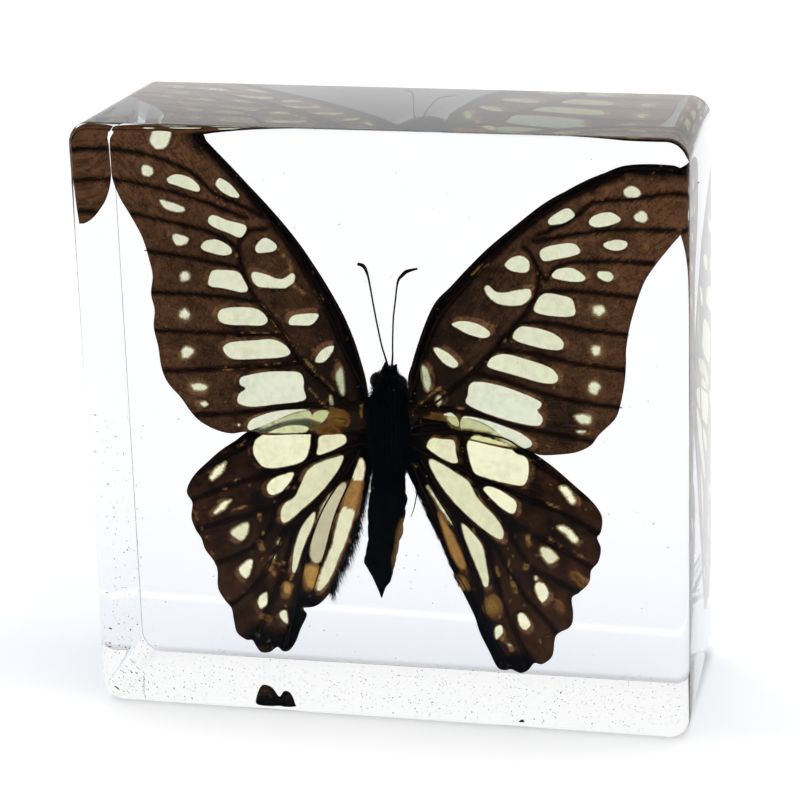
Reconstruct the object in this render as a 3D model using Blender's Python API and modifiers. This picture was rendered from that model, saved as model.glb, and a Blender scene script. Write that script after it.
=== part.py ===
"""Clear cast block that holds a spread butterfly, for a desk or a shelf.

The block is one casting. Its mould had draft, so every side wall runs in towards the back face,
and its corners and edges were rounded when it was polished. It stands on its bottom wall, which
makes the front face lean back by the draft angle.

Frame: metres, +Z up, front face towards -Y, origin under the middle of the block on the surface
that it stands on.
"""
import math

import bmesh
import bpy
from mathutils import Matrix, Vector

# Driving dimensions
FRONT_WIDTH = 0.0750        # X, across the front face
FRONT_HEIGHT = 0.0754       # Z, up the front face
DEPTH = 0.0254              # front face to back face
DRAFT = 0.00095             # how far each side wall has run in at the back face
CORNER_RADIUS = 0.0027      # the four corners, seen from the front
EDGE_RADIUS = 0.0010        # rounding all round the front face and the back face

CORNER_SEGMENTS = 8
EDGE_SEGMENTS = 4
SMOOTH_ANGLE = math.radians(40)     # keeps the faces flat and rounds the edges when shaded

# Worked out from them
LEAN = math.atan2(DRAFT, DEPTH)     # turns the bottom wall level

RESIN_COLOUR = (0.93, 0.95, 0.95, 1.0)
RESIN_INDEX = 1.54
RESIN_ROUGHNESS = 0.02


def clear_scene():
    for item in list(bpy.data.objects):
        bpy.data.objects.remove(item, do_unlink=True)


def object_collection():
    holder = bpy.data.collections.new("insect_in_resin_block")
    bpy.context.scene.collection.children.link(holder)
    return holder


def resin_material():
    """Clear polished casting resin."""
    material = bpy.data.materials.new("clear_resin")
    material.use_nodes = True
    shader = material.node_tree.nodes["Principled BSDF"]
    shader.inputs["Base Color"].default_value = RESIN_COLOUR
    shader.inputs["Metallic"].default_value = 0.0
    shader.inputs["Roughness"].default_value = RESIN_ROUGHNESS
    shader.inputs["IOR"].default_value = RESIN_INDEX
    shader.inputs["Transmission Weight"].default_value = 1.0
    return material


def drafted_cube(name):
    """A box with its front face on y = 0 and its bottom front edge on z = 0, narrower at the back."""
    shape = bmesh.new()
    bmesh.ops.create_cube(shape, size=1.0)
    bmesh.ops.scale(shape, vec=(FRONT_WIDTH, DEPTH, FRONT_HEIGHT), verts=shape.verts)
    bmesh.ops.translate(shape, vec=(0.0, DEPTH / 2, FRONT_HEIGHT / 2), verts=shape.verts)
    back = [vert for vert in shape.verts if vert.co.y > DEPTH / 2]
    run_in = Vector((1 - 2 * DRAFT / FRONT_WIDTH, 1.0, 1 - 2 * DRAFT / FRONT_HEIGHT))
    about_centre = Matrix.Translation((0.0, 0.0, -FRONT_HEIGHT / 2))
    bmesh.ops.scale(shape, vec=run_in, space=about_centre, verts=back)
    mark_corner_edges(shape)
    mesh = bpy.data.meshes.new(name)
    shape.to_mesh(mesh)
    shape.free()
    return mesh


def mark_corner_edges(shape):
    """Weights the four edges that run from front to back, for the corner rounding."""
    weight = shape.edges.layers.float.new("bevel_weight_edge")
    for edge in shape.edges:
        run = edge.verts[0].co - edge.verts[1].co
        edge[weight] = 1.0 if abs(run.y) > DEPTH / 2 else 0.0


def add_rounding(block):
    corners = block.modifiers.new("corner_rounding", "BEVEL")
    corners.limit_method = "WEIGHT"
    corners.width = CORNER_RADIUS
    corners.segments = CORNER_SEGMENTS
    edges = block.modifiers.new("edge_rounding", "BEVEL")
    edges.limit_method = "ANGLE"
    edges.angle_limit = SMOOTH_ANGLE
    edges.width = EDGE_RADIUS
    edges.segments = EDGE_SEGMENTS


def stand_on_bottom_wall(block):
    """Leans the block until its bottom wall is level, then centres it over the origin."""
    block.rotation_euler.x = -LEAN
    bpy.context.view_layer.update()
    finished = block.evaluated_get(bpy.context.evaluated_depsgraph_get())
    points = [finished.matrix_world @ vert.co for vert in finished.data.vertices]
    depths = [point.y for point in points]
    block.location.y = -(min(depths) + max(depths)) / 2
    block.location.z = -min(point.z for point in points)


def make_resin_block(holder):
    mesh = drafted_cube("resin_block")
    mesh.materials.append(resin_material())
    block = bpy.data.objects.new("resin_block", mesh)
    holder.objects.link(block)
    add_rounding(block)
    mesh.shade_smooth()
    mesh.set_sharp_from_angle(angle=SMOOTH_ANGLE)
    stand_on_bottom_wall(block)
    return block


clear_scene()
make_resin_block(object_collection())
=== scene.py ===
import math

import bpy
import numpy as np
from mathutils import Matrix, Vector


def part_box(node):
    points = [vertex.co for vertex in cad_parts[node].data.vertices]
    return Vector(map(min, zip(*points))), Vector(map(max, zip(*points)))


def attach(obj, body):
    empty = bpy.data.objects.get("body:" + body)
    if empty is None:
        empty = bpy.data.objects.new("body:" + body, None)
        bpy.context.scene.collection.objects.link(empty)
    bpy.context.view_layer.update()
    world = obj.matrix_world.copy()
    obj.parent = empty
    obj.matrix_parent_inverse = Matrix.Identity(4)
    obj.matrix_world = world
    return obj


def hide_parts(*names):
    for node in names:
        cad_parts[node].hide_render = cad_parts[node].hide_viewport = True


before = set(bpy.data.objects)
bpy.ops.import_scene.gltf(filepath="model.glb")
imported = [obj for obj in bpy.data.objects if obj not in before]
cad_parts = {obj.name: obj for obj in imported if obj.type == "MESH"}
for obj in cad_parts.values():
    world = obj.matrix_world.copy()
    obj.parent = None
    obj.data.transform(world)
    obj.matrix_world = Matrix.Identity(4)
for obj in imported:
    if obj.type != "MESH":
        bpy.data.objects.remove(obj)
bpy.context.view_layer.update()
bpy.ops.object.select_all(action="DESELECT")
MM = 0.001

# The camera stands to the right of the block and a little above it, far enough off that the
# block's sides run together only slightly. It looks at the middle of the front face.
camera_data = bpy.data.cameras.new("camera")
camera_data.lens = 145.4
camera_data.sensor_width = 36.0
camera_data.clip_start = 0.01
camera = bpy.data.objects.new("camera", camera_data)
camera.location = (0.08945, -0.36352, 0.18169)
camera.rotation_euler = (math.radians(68.896), math.radians(2.219), math.radians(13.045))
bpy.context.scene.collection.objects.link(camera)
bpy.context.scene.camera = camera


# The block stands on a pale matt sheet in a light tent. The tent glows behind the block and falls
# to grey over, beside and behind the camera. The sheet glows as if lit from below, and this glow
# is painted light that keeps the sheet white: painted shade close behind the block, a painted line
# of gathered light behind it, painted light just ahead of it, painted shade further ahead by the
# camera, and a painted shadow right under the block. The sheet's colour is darker by the camera
# too, painted shade that keeps the front face's reflection dark. The sheet is dark ahead of the
# block and under it, so that the polished faces keep their outline.
FLOOR_HALF = 1.5
FLOOR_DROP = 0.00015
SHEET_PAINTED_GLOW_STRENGTH = 0.52
SHEET_PAINTED_GLOW_FAR = (0.96, 0.97, 0.99, 1.0)         # how the sheet glows far behind the block
SHEET_PAINTED_SHADE_BEHIND = (0.78, 0.83, 0.94, 1.0)         # close behind it
SHEET_PAINTED_CAUSTIC = (1.15, 1.15, 1.15, 1.0)     # where the block gathers the light in a line
SHEET_PAINTED_LIGHT_AHEAD = (1.3, 1.3, 1.3, 1.0)           # just ahead of the block
SHEET_PAINTED_SHADE_BY_CAMERA = (0.1, 0.1, 0.11, 1.0)            # by the camera
SHEET_PAINTED_SHADOW_UNDER = (0.03, 0.03, 0.03, 1.0)        # right under the block
PAINTED_CAUSTIC_AT = 0.0285                         # the line's distance behind the middle, in metres
PAINTED_CAUSTIC_HALF = 0.0014
TENT_LEVEL = 1.07
TENT_LEAST = 0.12


class Amount:
    """An outlet of a node, used in sums like a number. Each operator adds a Math node."""

    def __init__(self, finish, socket):
        self.finish = finish
        self.socket = socket

    def sum_of(self, operation, first, second, clamped=False):
        settings = {"operation": operation, "use_clamp": clamped}
        return self.finish.node("ShaderNodeMath", settings, {0: first, 1: second})

    def __add__(self, other):
        return self.sum_of("ADD", self, other)

    __radd__ = __add__

    def __mul__(self, other):
        return self.sum_of("MULTIPLY", self, other)

    __rmul__ = __mul__

    def __sub__(self, other):
        return self.sum_of("SUBTRACT", self, other)

    def __rsub__(self, other):
        return self.sum_of("SUBTRACT", other, self)

    def __truediv__(self, other):
        return self.sum_of("DIVIDE", self, other)

    def __pow__(self, other):
        return self.sum_of("POWER", self, other)

    def clamped(self):
        return self.sum_of("ADD", self, 0.0, clamped=True)

    def at_most(self, other):
        return self.sum_of("MINIMUM", self, other)

    def at_least(self, other):
        return self.sum_of("MAXIMUM", self, other)


class Finish:
    """A node tree, of a material or of the tent, and the ways that its nodes are added."""

    def __init__(self, tree):
        self.tree = tree

    def feed(self, socket, value):
        if isinstance(value, Amount):
            self.tree.links.new(value.socket, socket)
        else:
            socket.default_value = value

    def node(self, kind, settings, inlets, outlet=0):
        made = self.tree.nodes.new(kind)
        stops = settings.pop("stops", None)
        for name, value in settings.items():
            setattr(made, name, value)
        if stops:
            ramp = made.color_ramp.elements
            while len(ramp) < len(stops):
                ramp.new(0.5)
            for element, (place, colour) in zip(ramp, stops):
                element.position = place
                element.color = colour
        for name, value in inlets.items():
            self.feed(made.inputs[name], value)
        return Amount(self, made.outputs[outlet])

    def blend(self, factor, first, second):
        """A colour between two others."""
        inlets = {0: factor, 6: first, 7: second}
        return self.node("ShaderNodeMix", {"data_type": "RGBA"}, inlets, outlet=2)


def paint(red, green, blue, cover=1.0):
    """A colour given as it shows on a screen, 0 to 255, as the shader needs it, and how much of
    what lies behind it is covered."""
    shown = (red / 255, green / 255, blue / 255)
    linear = [c / 12.92 if c <= 0.04045 else ((c + 0.055) / 1.055) ** 2.4 for c in shown]
    return (*linear, cover)


def surface(name):
    """A new material, with its finish and its main shader."""
    material = bpy.data.materials.new(name)
    material.use_nodes = True
    finish = Finish(material.node_tree)
    return material, finish, material.node_tree.nodes["Principled BSDF"]


def rising(amount, start, rate):
    """0 up to the start. From there it goes up at a rate, and stays at 1."""
    return ((amount - start) * rate).clamped()


def falling(amount, end, rate):
    """1 at first. It goes down at a rate to the end, and stays at 0."""
    return ((end - amount) * rate).clamped()


bpy.ops.mesh.primitive_plane_add(size=2 * FLOOR_HALF, location=(0, 0, -FLOOR_DROP))
floor = bpy.context.object
floor.name = "floor"
sheet_material, sheet, sheet_shader = surface("matt_sheet")
sheet_shader.inputs["Roughness"].default_value = 0.9
sheet_shader.inputs["Specular IOR Level"].default_value = 0.1
sheet_place = sheet.node("ShaderNodeTexCoord", {}, {}, "Object")
sheet_x = sheet.node("ShaderNodeSeparateXYZ", {}, {0: sheet_place}, 0)
sheet_y = sheet.node("ShaderNodeSeparateXYZ", {}, {0: sheet_place}, 1)
# Where the sheet's glow is painted: painted shade by the camera, painted light just ahead of the block,
# painted shade close behind it, a painted shadow under it and a painted line of gathered light.
painted_shade_by_camera = falling(sheet_y, -0.045, 16.0)
painted_light_ahead = falling(sheet_y, -0.010, 60.0)
sheet_across = sheet_x + 0.012
painted_shade_behind = (falling(sheet_y, 0.066, 22.0) * rising(sheet_y, -0.0167, 60.0)
              * falling(sheet_across * sheet_across, 0.055 ** 2, 800.0))
painted_shadow_under = (falling(sheet_x * sheet_x, 0.0372 ** 2, 9000.0)
               * falling(sheet_y * sheet_y, 0.0136 ** 2, 16000.0))
off_line = (sheet_y + 0.04 * sheet_x - PAINTED_CAUSTIC_AT) / PAINTED_CAUSTIC_HALF
painted_caustic = (1.0 - off_line * off_line).clamped() * painted_shade_behind
painted_sheet_light = sheet.blend(painted_shade_behind, SHEET_PAINTED_GLOW_FAR, SHEET_PAINTED_SHADE_BEHIND)
painted_sheet_light = sheet.blend(painted_caustic, painted_sheet_light, SHEET_PAINTED_CAUSTIC)
painted_sheet_light = sheet.blend(painted_light_ahead, painted_sheet_light, SHEET_PAINTED_LIGHT_AHEAD)
painted_sheet_light = sheet.blend(painted_shade_by_camera, painted_sheet_light, SHEET_PAINTED_SHADE_BY_CAMERA)
painted_sheet_light = sheet.blend(painted_shadow_under, painted_sheet_light, SHEET_PAINTED_SHADOW_UNDER)
sheet.feed(sheet_shader.inputs["Emission Color"], painted_sheet_light)
# The sheet's colour is darker by the camera: painted shade.
sheet.feed(sheet_shader.inputs["Base Color"],
           sheet.blend(painted_shade_by_camera, (0.9, 0.9, 0.9, 1.0), (0.45, 0.45, 0.46, 1.0)))
sheet_shader.inputs["Emission Strength"].default_value = SHEET_PAINTED_GLOW_STRENGTH
floor.data.materials.append(sheet_material)

tent_world = bpy.data.worlds.new("tent")
tent_world.use_nodes = True
bpy.context.scene.world = tent_world
tent = Finish(tent_world.node_tree)
tent_way = tent.node("ShaderNodeTexCoord", {}, {}, "Generated")
tent_x = tent.node("ShaderNodeSeparateXYZ", {}, {0: tent_way}, 0)
tent_y = tent.node("ShaderNodeSeparateXYZ", {}, {0: tent_way}, 1)
tent_z = tent.node("ShaderNodeSeparateXYZ", {}, {0: tent_way}, 2)
beside = rising(tent_x * tent_x, 0.5, 5.0) * falling(tent_y, 0.45, 4.0)
behind_camera = falling(tent_y, -0.1, 2.2) * rising(tent_z, -0.6, 2.0)
overhead = rising(tent_z, 0.55, 2.5)
tent_light = 1.0 - 0.84 * behind_camera - 0.2 * overhead - 0.4 * beside
backdrop = tent_world.node_tree.nodes["Background"]
tent.feed(backdrop.inputs["Strength"], tent_light.at_least(TENT_LEAST) * TENT_LEVEL)
backdrop.inputs["Color"].default_value = (1.0, 1.0, 1.0, 1.0)

scene = bpy.context.scene
scene.view_settings.view_transform = "Standard"
scene.cycles.use_denoising = True
scene.cycles.max_bounces = 16
scene.cycles.transmission_bounces = 14
scene.cycles.transparent_max_bounces = 24
scene.cycles.glossy_bounces = 8
scene.cycles.diffuse_bounces = 3
scene.cycles.sample_clamp_indirect = 6.0


# The block: one casting of clear polyester resin, polished all over. Its mould had draft, so each
# wall runs in towards the back. Its corners and edges are rounded, and it stands on its bottom wall.
BLOCK_WIDTH = 75.0
BLOCK_HEIGHT = 75.4
BLOCK_DEPTH = 25.4
BLOCK_DRAFT = 0.95
BLOCK_CORNER = 2.7
BLOCK_EDGES = {-1: 1.0, 1: 0.12}     # the front edge is worn round, and the back one is crisp
RESIN_INDEX = 1.54
LEAN = math.atan2(BLOCK_DRAFT, BLOCK_DEPTH)


def leant(x, depth, z):
    """Where a point of the block comes to stand, in metres, before the block is centred. It is
    given in mm: across from the middle, in from the front face, and up from its lower edge."""
    y = depth * math.cos(LEAN) + z * math.sin(LEAN)
    up = z * math.cos(LEAN) - depth * math.sin(LEAN)
    return np.stack([x + 0 * y, y, up + 0 * y], axis=-1) * MM


def select_where(obj, kind, test):
    """In edit mode, selects only the faces, edges or vertices that pass a test."""
    bpy.ops.mesh.select_mode(type=kind)
    bpy.ops.mesh.select_all(action="DESELECT")
    bpy.ops.object.mode_set(mode="OBJECT")
    mesh = obj.data
    parts = {"VERT": mesh.vertices, "EDGE": mesh.edges, "FACE": mesh.polygons}[kind]
    for part in parts:
        part.select = bool(test(part))
    bpy.ops.object.mode_set(mode="EDIT")


def edge_run(mesh, edge):
    """The vector along an edge."""
    first, last = (mesh.vertices[v].co for v in edge.vertices)
    return last - first


def mend_normals(obj):
    """Turns every face of a closed piece outwards."""
    bpy.context.view_layer.objects.active = obj
    bpy.ops.object.mode_set(mode="EDIT")
    bpy.ops.mesh.select_all(action="SELECT")
    bpy.ops.mesh.normals_make_consistent(inside=False)
    bpy.ops.object.mode_set(mode="OBJECT")


def place_all(obj, places):
    """Puts a mesh's vertices at an array of places in metres."""
    obj.data.vertices.foreach_set("co", np.asarray(places, np.float32).ravel())
    obj.data.update()


def places_of(obj):
    """A mesh's vertices as an array."""
    found = np.empty(len(obj.data.vertices) * 3, np.float32)
    obj.data.vertices.foreach_get("co", found)
    return found.reshape(-1, 3).astype(float)


block_size = (BLOCK_WIDTH * MM, BLOCK_DEPTH * MM, BLOCK_HEIGHT * MM)
bpy.ops.mesh.primitive_cube_add(size=1.0, scale=block_size)
block = bpy.context.object
block.name = "resin_casting"
bpy.ops.object.mode_set(mode="EDIT")
select_where(block, "FACE", lambda f: f.normal.y > 0.9)
bpy.ops.transform.resize(value=(1 - 2 * BLOCK_DRAFT / BLOCK_WIDTH, 1.0,
                                1 - 2 * BLOCK_DRAFT / BLOCK_HEIGHT))
select_where(block, "EDGE", lambda e: abs(edge_run(block.data, e).y) > 5 * MM)
bpy.ops.mesh.bevel(offset=BLOCK_CORNER * MM, segments=14, profile=0.5, affect="EDGES")
for side in (-1, 1):
    select_where(block, "FACE", lambda f: side * f.normal.y > 0.9)
    bpy.ops.mesh.region_to_loop()
    bpy.ops.mesh.bevel(offset=BLOCK_EDGES[side] * MM, segments=8, profile=0.5, affect="EDGES")
bpy.ops.mesh.select_all(action="DESELECT")
bpy.ops.object.mode_set(mode="OBJECT")
cast = places_of(block) / MM + (0.0, BLOCK_DEPTH / 2, BLOCK_HEIGHT / 2)
stood = leant(cast[:, 0], cast[:, 1], cast[:, 2])
cad_low, cad_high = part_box("resin_block")
SET_BACK = (cad_low.y + cad_high.y) / 2 - (stood[:, 1].min() + stood[:, 1].max()) / 2
place_all(block, stood + (0.0, SET_BACK, 0.0))
mend_normals(block)
bpy.ops.object.shade_smooth_by_angle(angle=math.radians(30))
resin_material, resin, resin_shader = surface("polished_resin")
resin_shader.inputs["Base Color"].default_value = (1.0, 1.0, 1.0, 1.0)
resin_shader.inputs["IOR"].default_value = RESIN_INDEX
resin_shader.inputs["Transmission Weight"].default_value = 1.0
resin_shader.inputs["Roughness"].default_value = 0.0
resin_shader.inputs["Specular Tint"].default_value = (0.04, 0.07, 0.10, 1.0)
resin_body = resin.tree.nodes.new("ShaderNodeVolumeAbsorption")
resin_body.inputs["Color"].default_value = (0.20, 0.23, 0.30, 1.0)
resin_body.inputs["Density"].default_value = 5.0
resin.tree.links.new(resin_body.outputs[0], resin.tree.nodes["Material Output"].inputs["Volume"])
block.data.materials.append(resin_material)
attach(block, "root")
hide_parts("resin_block")


def in_block(x, depth, z):
    """The same as leant, with the block centred over the origin."""
    return leant(x, depth, z) + (0.0, SET_BACK, 0.0)


# The forewings: a dry, dark scaled membrane with rows of clear, greenish panes. The specimen was
# turned a little as it was cast, so the left tip lies against the back and the right one near the
# front. Each wing is set out flat, on a plane near the back face, and is then brought forward to
# its own depth along one line of sight.
DRAWN_DEPTH = 23.0
DRAWN_SHIFT = (0.11, 0.2)       # from the drawn plane to the block, across and up, in mm
DRAWN_RISE = 0.998              # and how much the height shrinks
SIGHT_FROM = (90.5, 178)        # where the lines of sight in the resin meet, in mm
SIGHT_RANGE = (621, 645)        # and how far ahead of the wings that is
WING_THICKNESS = 0.07
SEALED_GLOSS = 0.02     # resin wets what it holds, so hardly any of it shines
WEAVE = 0.26            # side of the small squares that a wing's sheet is made of
CREAM = paint(250, 255, 150, 0.15)       # the tints of the panes, with how much each one covers
MINT = paint(236, 255, 220, 0.13)
LEAF = paint(190, 225, 90, 0.34)
OLIVE = paint(176, 140, 44, 0.6)
VEIL = paint(216, 226, 150, 0.17)
BUTTER = paint(255, 220, 30, 0.10)
PEARL = paint(255, 250, 90, 0.03)
GOLD = paint(255, 200, 80, 0.46)
TAN = paint(240, 170, 80, 0.52)
DULL = paint(166, 112, 50, 0.92)
SHARP = 0.10            # how wide a pane's edge is, in mm
HAZY = 0.45
FADED = 0.8
VEIN = 0.34             # how wide a vein is at the root, in mm, and at the margin
VEIN_TIP = 0.14
THIN_SCALES = paint(224, 160, 110)      # scales thin out to this round the panes
SCRAPES_AND_HIGHLIGHTS = paint(222, 166, 96)           # where scales are scraped off, and painted highlights along the veins
LOST = paint(196, 142, 84)              # where they fell out
PANE_RIM = paint(190, 126, 56)          # the edge of a pane
AMBER_STAIN = (0.95, 0.74, 0.42, 1.0)   # what a stained pane lets through


def smooth_line(points, closed=True, steps=5):
    """A smooth curve through given points, as an array of points close together."""
    given = np.array(points, float)
    if closed:
        before, after, later = (np.roll(given, -k, axis=0) for k in (-1, 1, 2))
        start = given
    else:
        padded = np.vstack([2 * given[0] - given[1], given, 2 * given[-1] - given[-2]])
        before, start, after, later = padded[:-3], padded[1:-2], padded[2:-1], padded[3:]
    runs = []
    for t in np.arange(steps) / steps:
        runs.append(0.5 * (2 * start + (after - before) * t
                           + (2 * before - 5 * start + 4 * after - later) * t ** 2
                           + (3 * start - 3 * after + later - before) * t ** 3))
    line = np.stack(runs, axis=1).reshape(-1, given.shape[1])
    return line if closed else np.vstack([line, given[-1]])


def reach(spots, line, closed=True):
    """How far each spot is from a line, and the nearest point on it. Spots inside a closed line
    count as positive, and those outside it as negative."""
    ends = np.roll(line, -1, axis=0) if closed else line[1:]
    nearest = np.full(len(spots), 1e9)
    foot = np.zeros_like(spots)
    inside = np.zeros(len(spots), bool)
    for a, b in zip(line, ends):
        run = b - a
        along = np.clip(((spots - a) @ run) / max(run @ run, 1e-12), 0, 1)
        touch = a + along[:, None] * run
        far = np.hypot(*(spots - touch).T)
        closer = far < nearest
        nearest[closer] = far[closer]
        foot[closer] = touch[closer]
        if closed and a[1] != b[1]:
            level = (a[1] > spots[:, 1]) != (b[1] > spots[:, 1])
            inside ^= level & (spots[:, 0] < a[0] + (spots[:, 1] - a[1]) * run[0] / run[1])
    return (np.where(inside, nearest, -nearest) if closed else nearest), foot


def brought_forward(spots, depth):
    """A drawn point's place in the block at its own depth, in metres."""
    x = spots[:, 0] + DRAWN_SHIFT[0]
    z = DRAWN_RISE * spots[:, 1] + DRAWN_SHIFT[1]
    lift = DRAWN_DEPTH - depth
    return in_block(x + lift * (SIGHT_FROM[0] - x) / SIGHT_RANGE[0], depth,
                    z + lift * (SIGHT_FROM[1] - z) / SIGHT_RANGE[1])


def keep(obj, name, values):
    """Stores one value, or one colour, for each of a mesh's vertices."""
    kind, field = ("FLOAT_COLOR", "color") if values.ndim > 1 else ("FLOAT", "value")
    layer = obj.data.attributes.new(name, kind, "POINT")
    layer.data.foreach_set(field, np.asarray(values, np.float32).ravel())


def apply_modifier(obj, kind, **settings):
    """Adds a modifier, sets it and applies it."""
    bpy.context.view_layer.objects.active = obj
    modifier = obj.modifiers.new(kind.lower(), kind)
    for name, value in settings.items():
        setattr(modifier, name, value)
    bpy.ops.object.modifier_apply(modifier=modifier.name)


def wing_sheet(name, outline, panes, ribs, depth_at, root, costa, scrape_and_highlight_lines=()):
    """One wing: a fine flat grid trimmed to the outline, marked with its panes, brought to its
    depth and given the membrane's thickness."""
    edge = smooth_line(outline)
    low, high = edge.min(axis=0) - WEAVE, edge.max(axis=0) + WEAVE
    count = np.ceil((high - low) / WEAVE).astype(int)
    bpy.ops.mesh.primitive_grid_add(x_subdivisions=int(count[0]), y_subdivisions=int(count[1]),
                                    size=1.0)
    wing = bpy.context.object
    wing.name = name
    place_all(wing, places_of(wing) * (*(count * WEAVE), 0) + (*((low + high) / 2), 0))
    depth_in, _ = reach(places_of(wing)[:, :2], edge)
    bpy.ops.object.mode_set(mode="EDIT")
    select_where(wing, "VERT", lambda v: depth_in[v.index] < -0.5 * WEAVE)
    bpy.ops.mesh.delete(type="VERT")
    bpy.ops.mesh.select_all(action="SELECT")
    bpy.ops.mesh.region_to_loop()
    bpy.ops.object.mode_set(mode="OBJECT")
    spots = places_of(wing)[:, :2]
    within, foot = reach(spots, edge)
    rim = np.array([v.select for v in wing.data.vertices]) | (within < 0.15 * WEAVE)
    spots[rim] = foot[rim]

    pane = np.full(len(spots), -9.0)
    glow = np.zeros(len(spots))
    ring = np.zeros(len(spots))
    tint = np.tile(np.array(CREAM), (len(spots), 1))
    away = spots - root
    away /= np.hypot(*away.T)[:, None]
    for colour, softness, shape in panes:
        fade, drift = (0.2, 0.55) if softness < HAZY else (0.75, 0.1)
        pane_edge = smooth_line(shape)
        depth_in, _ = reach(spots, pane_edge)
        nearer = depth_in / softness > pane
        pane[nearer] = (depth_in / softness)[nearer]
        tint[nearer] = colour
        drifted, _ = reach(spots - away * drift, pane_edge)
        glow = np.maximum(glow, np.clip(1 + drifted / fade, 0, 1))
        ring = np.maximum(ring, np.clip(1 + depth_in / 0.7, 0, 1))
    keep(wing, "pane", pane)
    keep(wing, "glow", glow)
    keep(wing, "ring", ring)
    keep(wing, "tint", tint)
    rib = np.min([reach(spots, smooth_line(line, closed=False), closed=False)[0]
                  - 0.7 * np.mean(widths) for widths, line in ribs], axis=0)
    keep(wing, "rib", rib)
    keep(wing, "sweep", np.arctan2(*away.T))
    keep(wing, "rim", np.abs(reach(spots, edge)[0]))
    keep(wing, "outward", np.hypot(*(spots - root).T))
    keep(wing, "costa", np.min([reach(spots, smooth_line(line, closed=False), closed=False)[0]
                                for line in costa], axis=0))
    # Scraped marks: partly scales scraped off, partly painted highlights along the veins.
    scrape_and_highlight = np.zeros(len(spots))
    for width, line in scrape_and_highlight_lines:
        off, _ = reach(spots, np.array(line, float), closed=False)
        scrape_and_highlight = np.maximum(scrape_and_highlight, np.clip(1.5 - off / width, 0, 1))
    keep(wing, "scrape_and_highlight", scrape_and_highlight)
    place_all(wing, brought_forward(spots, depth_at(spots)))
    apply_modifier(wing, "SOLIDIFY", thickness=WING_THICKNESS * MM, offset=0.0)
    mend_normals(wing)
    bpy.ops.object.shade_smooth_by_angle(angle=math.radians(40))
    return wing


def scaled_membrane(name, near, far, lead, dark, tinge):
    """Wing scales over a clear membrane. The scales are near black at the root and along the
    leading edge and brown towards the margin, thin to amber round the panes, and run in streaks
    from the root. The brown's lightening towards the margin is partly the scales' own colour and
    partly a painted glow, standing in for light that comes through the thinner wing. The scraped
    marks are partly scales scraped off and partly painted highlights along the veins. The panes are
    bare: they let light through with the membrane's own tinge, and those that their tint covers
    most are stained amber and soiled."""
    material, wing, shader = surface(name)

    def read(attribute, outlet="Fac"):
        return wing.node("ShaderNodeAttribute", {"attribute_name": attribute}, {}, outlet)

    def noise(place, scale, detail):
        inlets = {"Vector": place, "Scale": scale, "Detail": detail}
        return wing.node("ShaderNodeTexNoise", {}, inlets)

    place = wing.node("ShaderNodeTexCoord", {}, {}, "Object")
    grain = noise(place, 4200.0, 3.0) - 0.5
    patch = noise(place, 260.0, 4.0) - 0.5
    worn = noise(place, 1100.0, 4.0) - 0.5
    outward = read("outward")
    fan = wing.node("ShaderNodeCombineXYZ", {}, {0: read("sweep") * 120.0, 1: outward * 0.35})
    streak = noise(fan, 1.0, 4.0) - 0.5
    bare = (read("pane") + grain * 1.1 + worn * 0.9 + 0.5).clamped()
    # Lighter towards the margin: partly the scales' own colour, partly painted glow through the thinner
    # wing.
    outward_and_glow = (outward / 30.0 + patch * 1.4 + streak * 1.6 - 0.3).clamped()
    brown = wing.blend(outward_and_glow, near, far)
    brown = wing.blend((read("ring") * 0.7 + patch * 1.5 - 0.1).clamped(), brown, near)
    halo = ((read("glow") * 1.5).clamped() * (0.5 + patch * 5.0 + worn * 2.5)).clamped()
    brown = wing.blend(halo * 0.85, brown, THIN_SCALES)
    mottle = (0.42 + grain * 3.0 + worn * 2.5 + streak * 3.0).clamped()
    brown = wing.blend(mottle * 0.62, brown, dark)
    shade = (1.05 - read("rib") * 2.3 + streak * 2.0).clamped()
    brown = wing.blend(shade * 0.85, brown, dark)
    front = (1.55 - read("costa") * 0.75 + patch * 2.0).clamped()
    brown = wing.blend(front * 0.95, brown, lead)
    brown = wing.blend((1.0 - read("rim") * 6.0).clamped() * 0.9, brown, dark)
    # Scraped marks: partly scales scraped off, partly painted highlights along the veins.
    scrapes_and_highlights = (read("scrape_and_highlight") * (0.7 + worn * 7.0 + grain * 3.0)).clamped()
    brown = wing.blend(scrapes_and_highlights * 0.9, brown, SCRAPES_AND_HIGHLIGHTS)
    loss = ((worn - 0.12) * 14.0).clamped() * ((patch - 0.03) * 12.0).clamped()
    brown = wing.blend(loss * 0.75, brown, LOST)
    amber = (4.0 * bare * (1.0 - bare)).clamped() * 0.7
    soiled = ((read("tint", "Alpha") - 0.3) * (1.3 + streak * 9.0 + worn * 7.0)).clamped()
    tint = wing.blend(soiled, read("tint", "Color"), dark)
    shown = wing.blend(amber, wing.blend(bare, brown, tint), PANE_RIM)
    wing.feed(shader.inputs["Base Color"], shown)
    glass = wing.node("ShaderNodeBsdfTransparent", {}, {"Color": tinge})
    stain = wing.node("ShaderNodeBsdfTransparent", {}, {"Color": AMBER_STAIN})
    stained = (read("tint", "Alpha") * 20.0 - 8.0).clamped()
    glass = wing.node("ShaderNodeMixShader", {}, {0: stained, 1: glass, 2: stain})
    clouded = (0.97 + worn * 0.22 + patch * 0.16).at_most(1.0)
    clear = bare * (1.0 - read("tint", "Alpha")) * clouded
    parted = wing.node("ShaderNodeMixShader", {}, {0: clear, 1: Amount(wing, shader.outputs[0]),
                                                   2: glass})
    wing.feed(wing.tree.nodes["Material Output"].inputs["Surface"], parted)
    wing.feed(shader.inputs["Roughness"], 0.75 + grain * 0.4)
    relief = wing.node("ShaderNodeBump", {}, {"Height": grain * (1.0 - bare * 0.6), "Strength": 0.5,
                                              "Distance": 0.03 * MM})
    wing.feed(shader.inputs["Normal"], relief)
    shader.inputs["Specular IOR Level"].default_value = SEALED_GLOSS
    return material


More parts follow.
